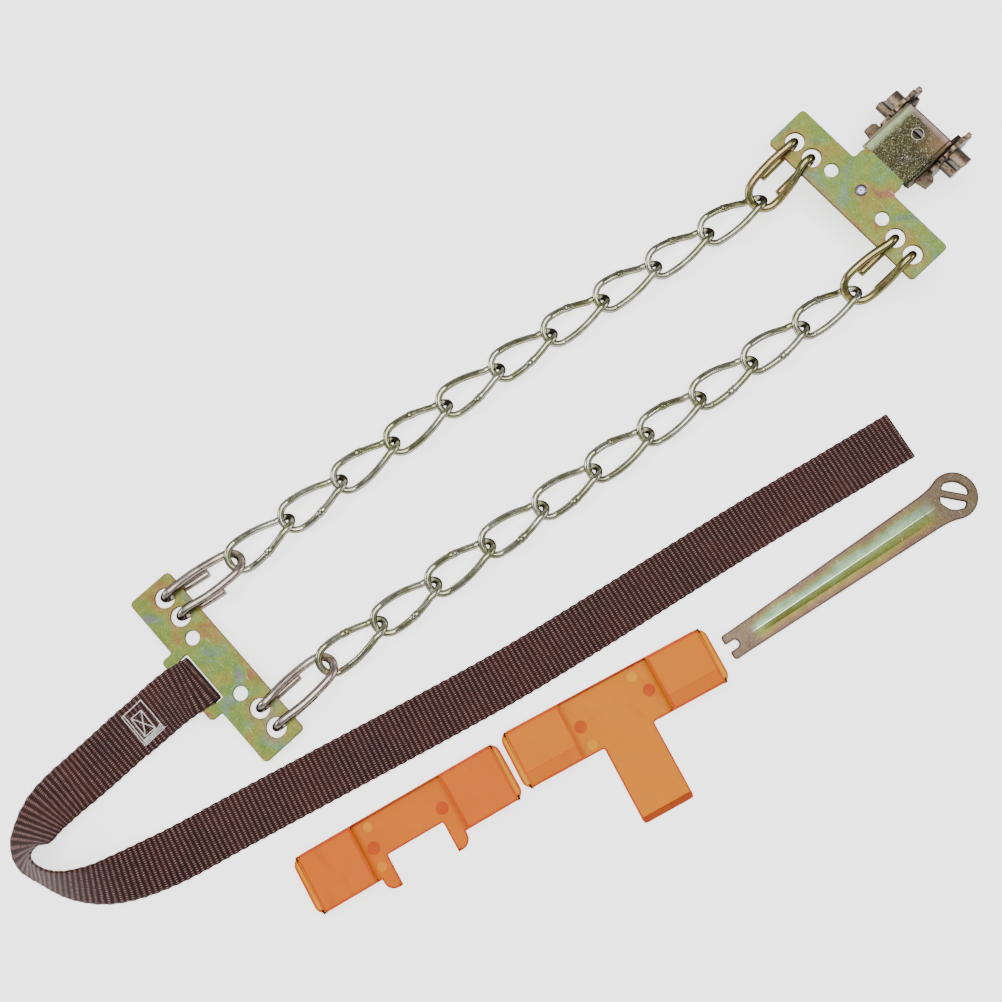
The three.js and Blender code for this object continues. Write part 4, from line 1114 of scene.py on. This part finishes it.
def add_pocket(shape, sign, half_length, inner_line):
    """A sleeve pocket: rounded roof, side walls, and a solid end with a lip line."""
    a, b = sign * POCKET_FROM, sign * half_length
    wall, side_edge, lip_edge = COVER_HALF - COVER_WALL, COVER_HALF - 0.3, COVER_HALF - 0.9
    end = sign * (half_length - 3.2)
    under, skin = COVER_HEIGHT - COVER_WALL, COVER_HEIGHT - 0.4
    lay(shape, pocket_outline(a, b, side_edge, 4.4), under, COVER_HEIGHT - 0.06, 0.6, (0.30, 0.62), 0.9)
    for side in (1, -1):
        strip = box(a, side * wall, end, side * side_edge)
        lay(shape, strip, 0.4, under + 0.4, 0.25, (0.7, 1.0))
    lay(shape, pocket_outline(end, b, side_edge, 4.4), 0.2, under + 0.4, 0.3, (0.5, 0.9))
    lip = pocket_outline(end, b - sign * 0.7, lip_edge, 3.4)
    lay(shape, lip, skin, COVER_HEIGHT - 0.03, 0.1, (-0.5, 0.3), 0.8)
    line = box(end - sign * 0.9, -lip_edge, end + sign * 0.3, lip_edge)
    lay(shape, line, skin, COVER_HEIGHT, 0.25, (0.62, 0.35), 0.2)
    mouth = box(a, 0.4 - COVER_HALF, a + sign * 1.3, COVER_HALF - 0.4)
    lay(shape, mouth, skin, COVER_HEIGHT, 0.3, (0.66, 0.42), 0.25)
    if inner_line:
        deep = box(a + sign * 1.2, -wall, end, inner_line)
        lay(shape, deep, COVER_HEIGHT - 0.3, COVER_HEIGHT - 0.02, 0.1, (0.36, 0.55), 0.2)


def cover_shape(sheet, half_length, dots, inner_line=None):
    """A flat sheet with a pocket at each end, small raised dots and a rim along its back."""
    shape = Shape()
    lay(shape, sheet, 0, COVER_WALL, 0.4, (0.05, 0.9), 0.7)
    for sign in (1, -1):
        add_pocket(shape, sign, half_length, inner_line)
    for x, y, radius, tone in dots:
        dot = ring(x, y, radius, 28)
        lay(shape, dot, COVER_WALL - 0.1, COVER_WALL + 0.12, 0.1, (tone, tone * 0.8), 0.4)
    lay(shape, box(-POCKET_FROM, COVER_HALF - 1.0, POCKET_FROM, COVER_HALF), 0.2, 3.0, 0.25, (0.8, 1.0))
    return shape


def add_ratchet_cover():
    half, stem, end = 53.5, 13.0, 52.0
    sheet = rounded(mirrored([
        (stem, -end, 2), (stem, -COVER_HALF, 1), (half, -COVER_HALF, 4.5), (half, COVER_HALF, 4.5),
    ], -1, 1))
    dots = [(18, -0.3, 3, 0.6), (-18, -0.3, 3, 0.6), (-17.2, -10, 2.6, -0.4), (14, 8.7, 2.6, -0.4)]
    shape = cover_shape(sheet, half, dots, -6.5)
    tip = box(0.4 - stem, 0.4 - end, stem - 0.4, 2.9 - end)
    lay(shape, tip, 0.3, 2.6, 0.3, (0.85, 1.0))
    make_object("ratchet_cover_plastic", shape, cover_orange, "ratchet_cover", ["ratchet_cover"],
                flat_place(-66.9, -118.8, -14.7))


def add_strap_cover():
    half, leg_out, leg_end, notch, top = 52.5, 21.5, -20.5, 14.3, -5.6
    sheet = rounded(mirrored([
        (notch, top, 0.6), (notch, leg_end, 0.6), (leg_out, leg_end, 5), (leg_out, -COVER_HALF),
        (half, -COVER_HALF, 4.5), (half, COVER_HALF, 4.5),
    ], -1, 1))
    dots = [(-18.4, 0, 3, 0.6), (17, 0, 3, 0.6), (-16.5, 9.4, 2.4, -0.4), (-19, -8.9, 2.4, -0.4)]
    make_object("strap_cover_plastic", cover_shape(sheet, half, dots), cover_deep, "strap_cover",
                ["strap_cover"], flat_place(-172.3, -94.5, -12.9))


add_ratchet_cover()
add_strap_cover()


# ---- key ----
def add_key():
    """Flat strip with a forked end, a creased rib and a round head with an eye each side of a bar."""
    head_at, head_r = 132.6, 11.5
    fork = rounded(mirrored([(8, 6.4), (0, 6.4, 1.6), (0, 2, 0.8), (6, 2, 1.9)]))
    flare = [(60, -7.55), (110, -8.65), (118, -8.85), (121.5, -9.1), (125, -9.65)]
    start = atan2(-10.3, -4.9)
    head = [(head_at + head_r * cos(angle), head_r * sin(angle)) for angle in fan(start, -start, 60)]
    loop = fork + flare + head + [(x, -y) for x, y in reversed(flare)]
    eye = [(-6.7, 1.75, 0.9), (6.7, 1.75, 0.9), (5.7, 4.9, 2.0), (0, 7.5, 7.0), (-5.7, 4.9, 2.0)]
    holes = []
    for turn in (rad(-44), rad(-44) + pi):
        c, s = cos(turn), sin(turn)
        holes.append([(head_at + x * c - y * s, x * s + y * c) for x, y in rounded(eye, 8)])
    # soft widens the band of painted edge shade round the key's outline.
    shape = Shape().add(*slab(loop, holes, 0, 2.0, 0.35, soft=0.5))
    rib = []
    stations, columns = 60, 12
    for i in range(stations + 1):
        x = 15 + 101 * i / stations
        fade = min(1, i / 6, (stations - i) / 6) ** 0.7
        width = 2.0 + 2.6 * x / 116
        for k in range(columns + 1):
            t = 2 * k / columns - 1
            rib.append((x, t * width, 1.98 + 0.6 * fade * (1 - abs(t)) ** 0.85))
    shape.add(rib, [f[::-1] for f in grid_faces(stations + 1, columns + 1, wrap_columns=False)])
    make_object("key_steel", shape, key_zinc, "key", ["key"], flat_place(-9.1, -135.0, -9.26))


add_key()


# ---- floor and light ----
def add_floor():
    n = Nodes("floor")
    shade = n.spread(n.noise(3, 2, 0.5), 0.3, 0.7)
    n.finish(n.mix(shade, (0.97, 0.97, 0.97), (0.99, 0.99, 0.99)), 0.95,
             Emission_Color=(1.0, 1.0, 1.0, 1.0), Emission_Strength=1.8)
    mesh = bpy.data.meshes.new("floor")
    mesh.from_pydata([(x, y, -0.0002) for x, y in box(-4, -4, 4, 4)], [], [(0, 1, 2, 3)])
    mesh.materials.append(n.material)
    put_in_scene("floor", mesh)


def add_light(name, place, size, power, colour=(1, 1, 1)):
    data = bpy.data.lights.new(name, "AREA")
    data.size = size
    data.energy = power
    data.color = colour
    light = put_in_scene(name, data)
    light.location = place
    light.rotation_euler = (-Vector(place)).to_track_quat("-Z", "Y").to_euler()


def add_world():
    """A white room: bright overhead, a darker band of wall half way down, bright again low down."""
    world = bpy.data.worlds.new("studio")
    bpy.context.scene.world = world
    world.use_nodes = True
    tree = world.node_tree
    place = tree.nodes.new("ShaderNodeTexCoord")
    split = tree.nodes.new("ShaderNodeSeparateXYZ")
    ramp = tree.nodes.new("ShaderNodeValToRGB")
    tree.links.new(place.outputs["Generated"], split.inputs[0])
    tree.links.new(split.outputs[2], ramp.inputs["Fac"])
    levels = [(0.0, 0.55), (0.30, 0.50), (0.45, 0.10), (0.78, 0.12), (0.88, 0.85), (1.0, 1.0)]
    set_stops(ramp.color_ramp, [(position, (level,) * 3) for position, level in levels])
    tree.links.new(ramp.outputs["Color"], tree.nodes["Background"].inputs["Color"])
    tree.nodes["Background"].inputs["Strength"].default_value = 1.0


add_floor()
add_world()
add_light("overhead_light", (0.0, 0.1, 1.7), 1.7, 36)
add_light("low_light", (-1.2, 1.0, 0.45), 0.5, 8)
add_light("far_light", (1.3, -0.9, 0.5), 0.4, 5, (1.0, 0.98, 0.95))
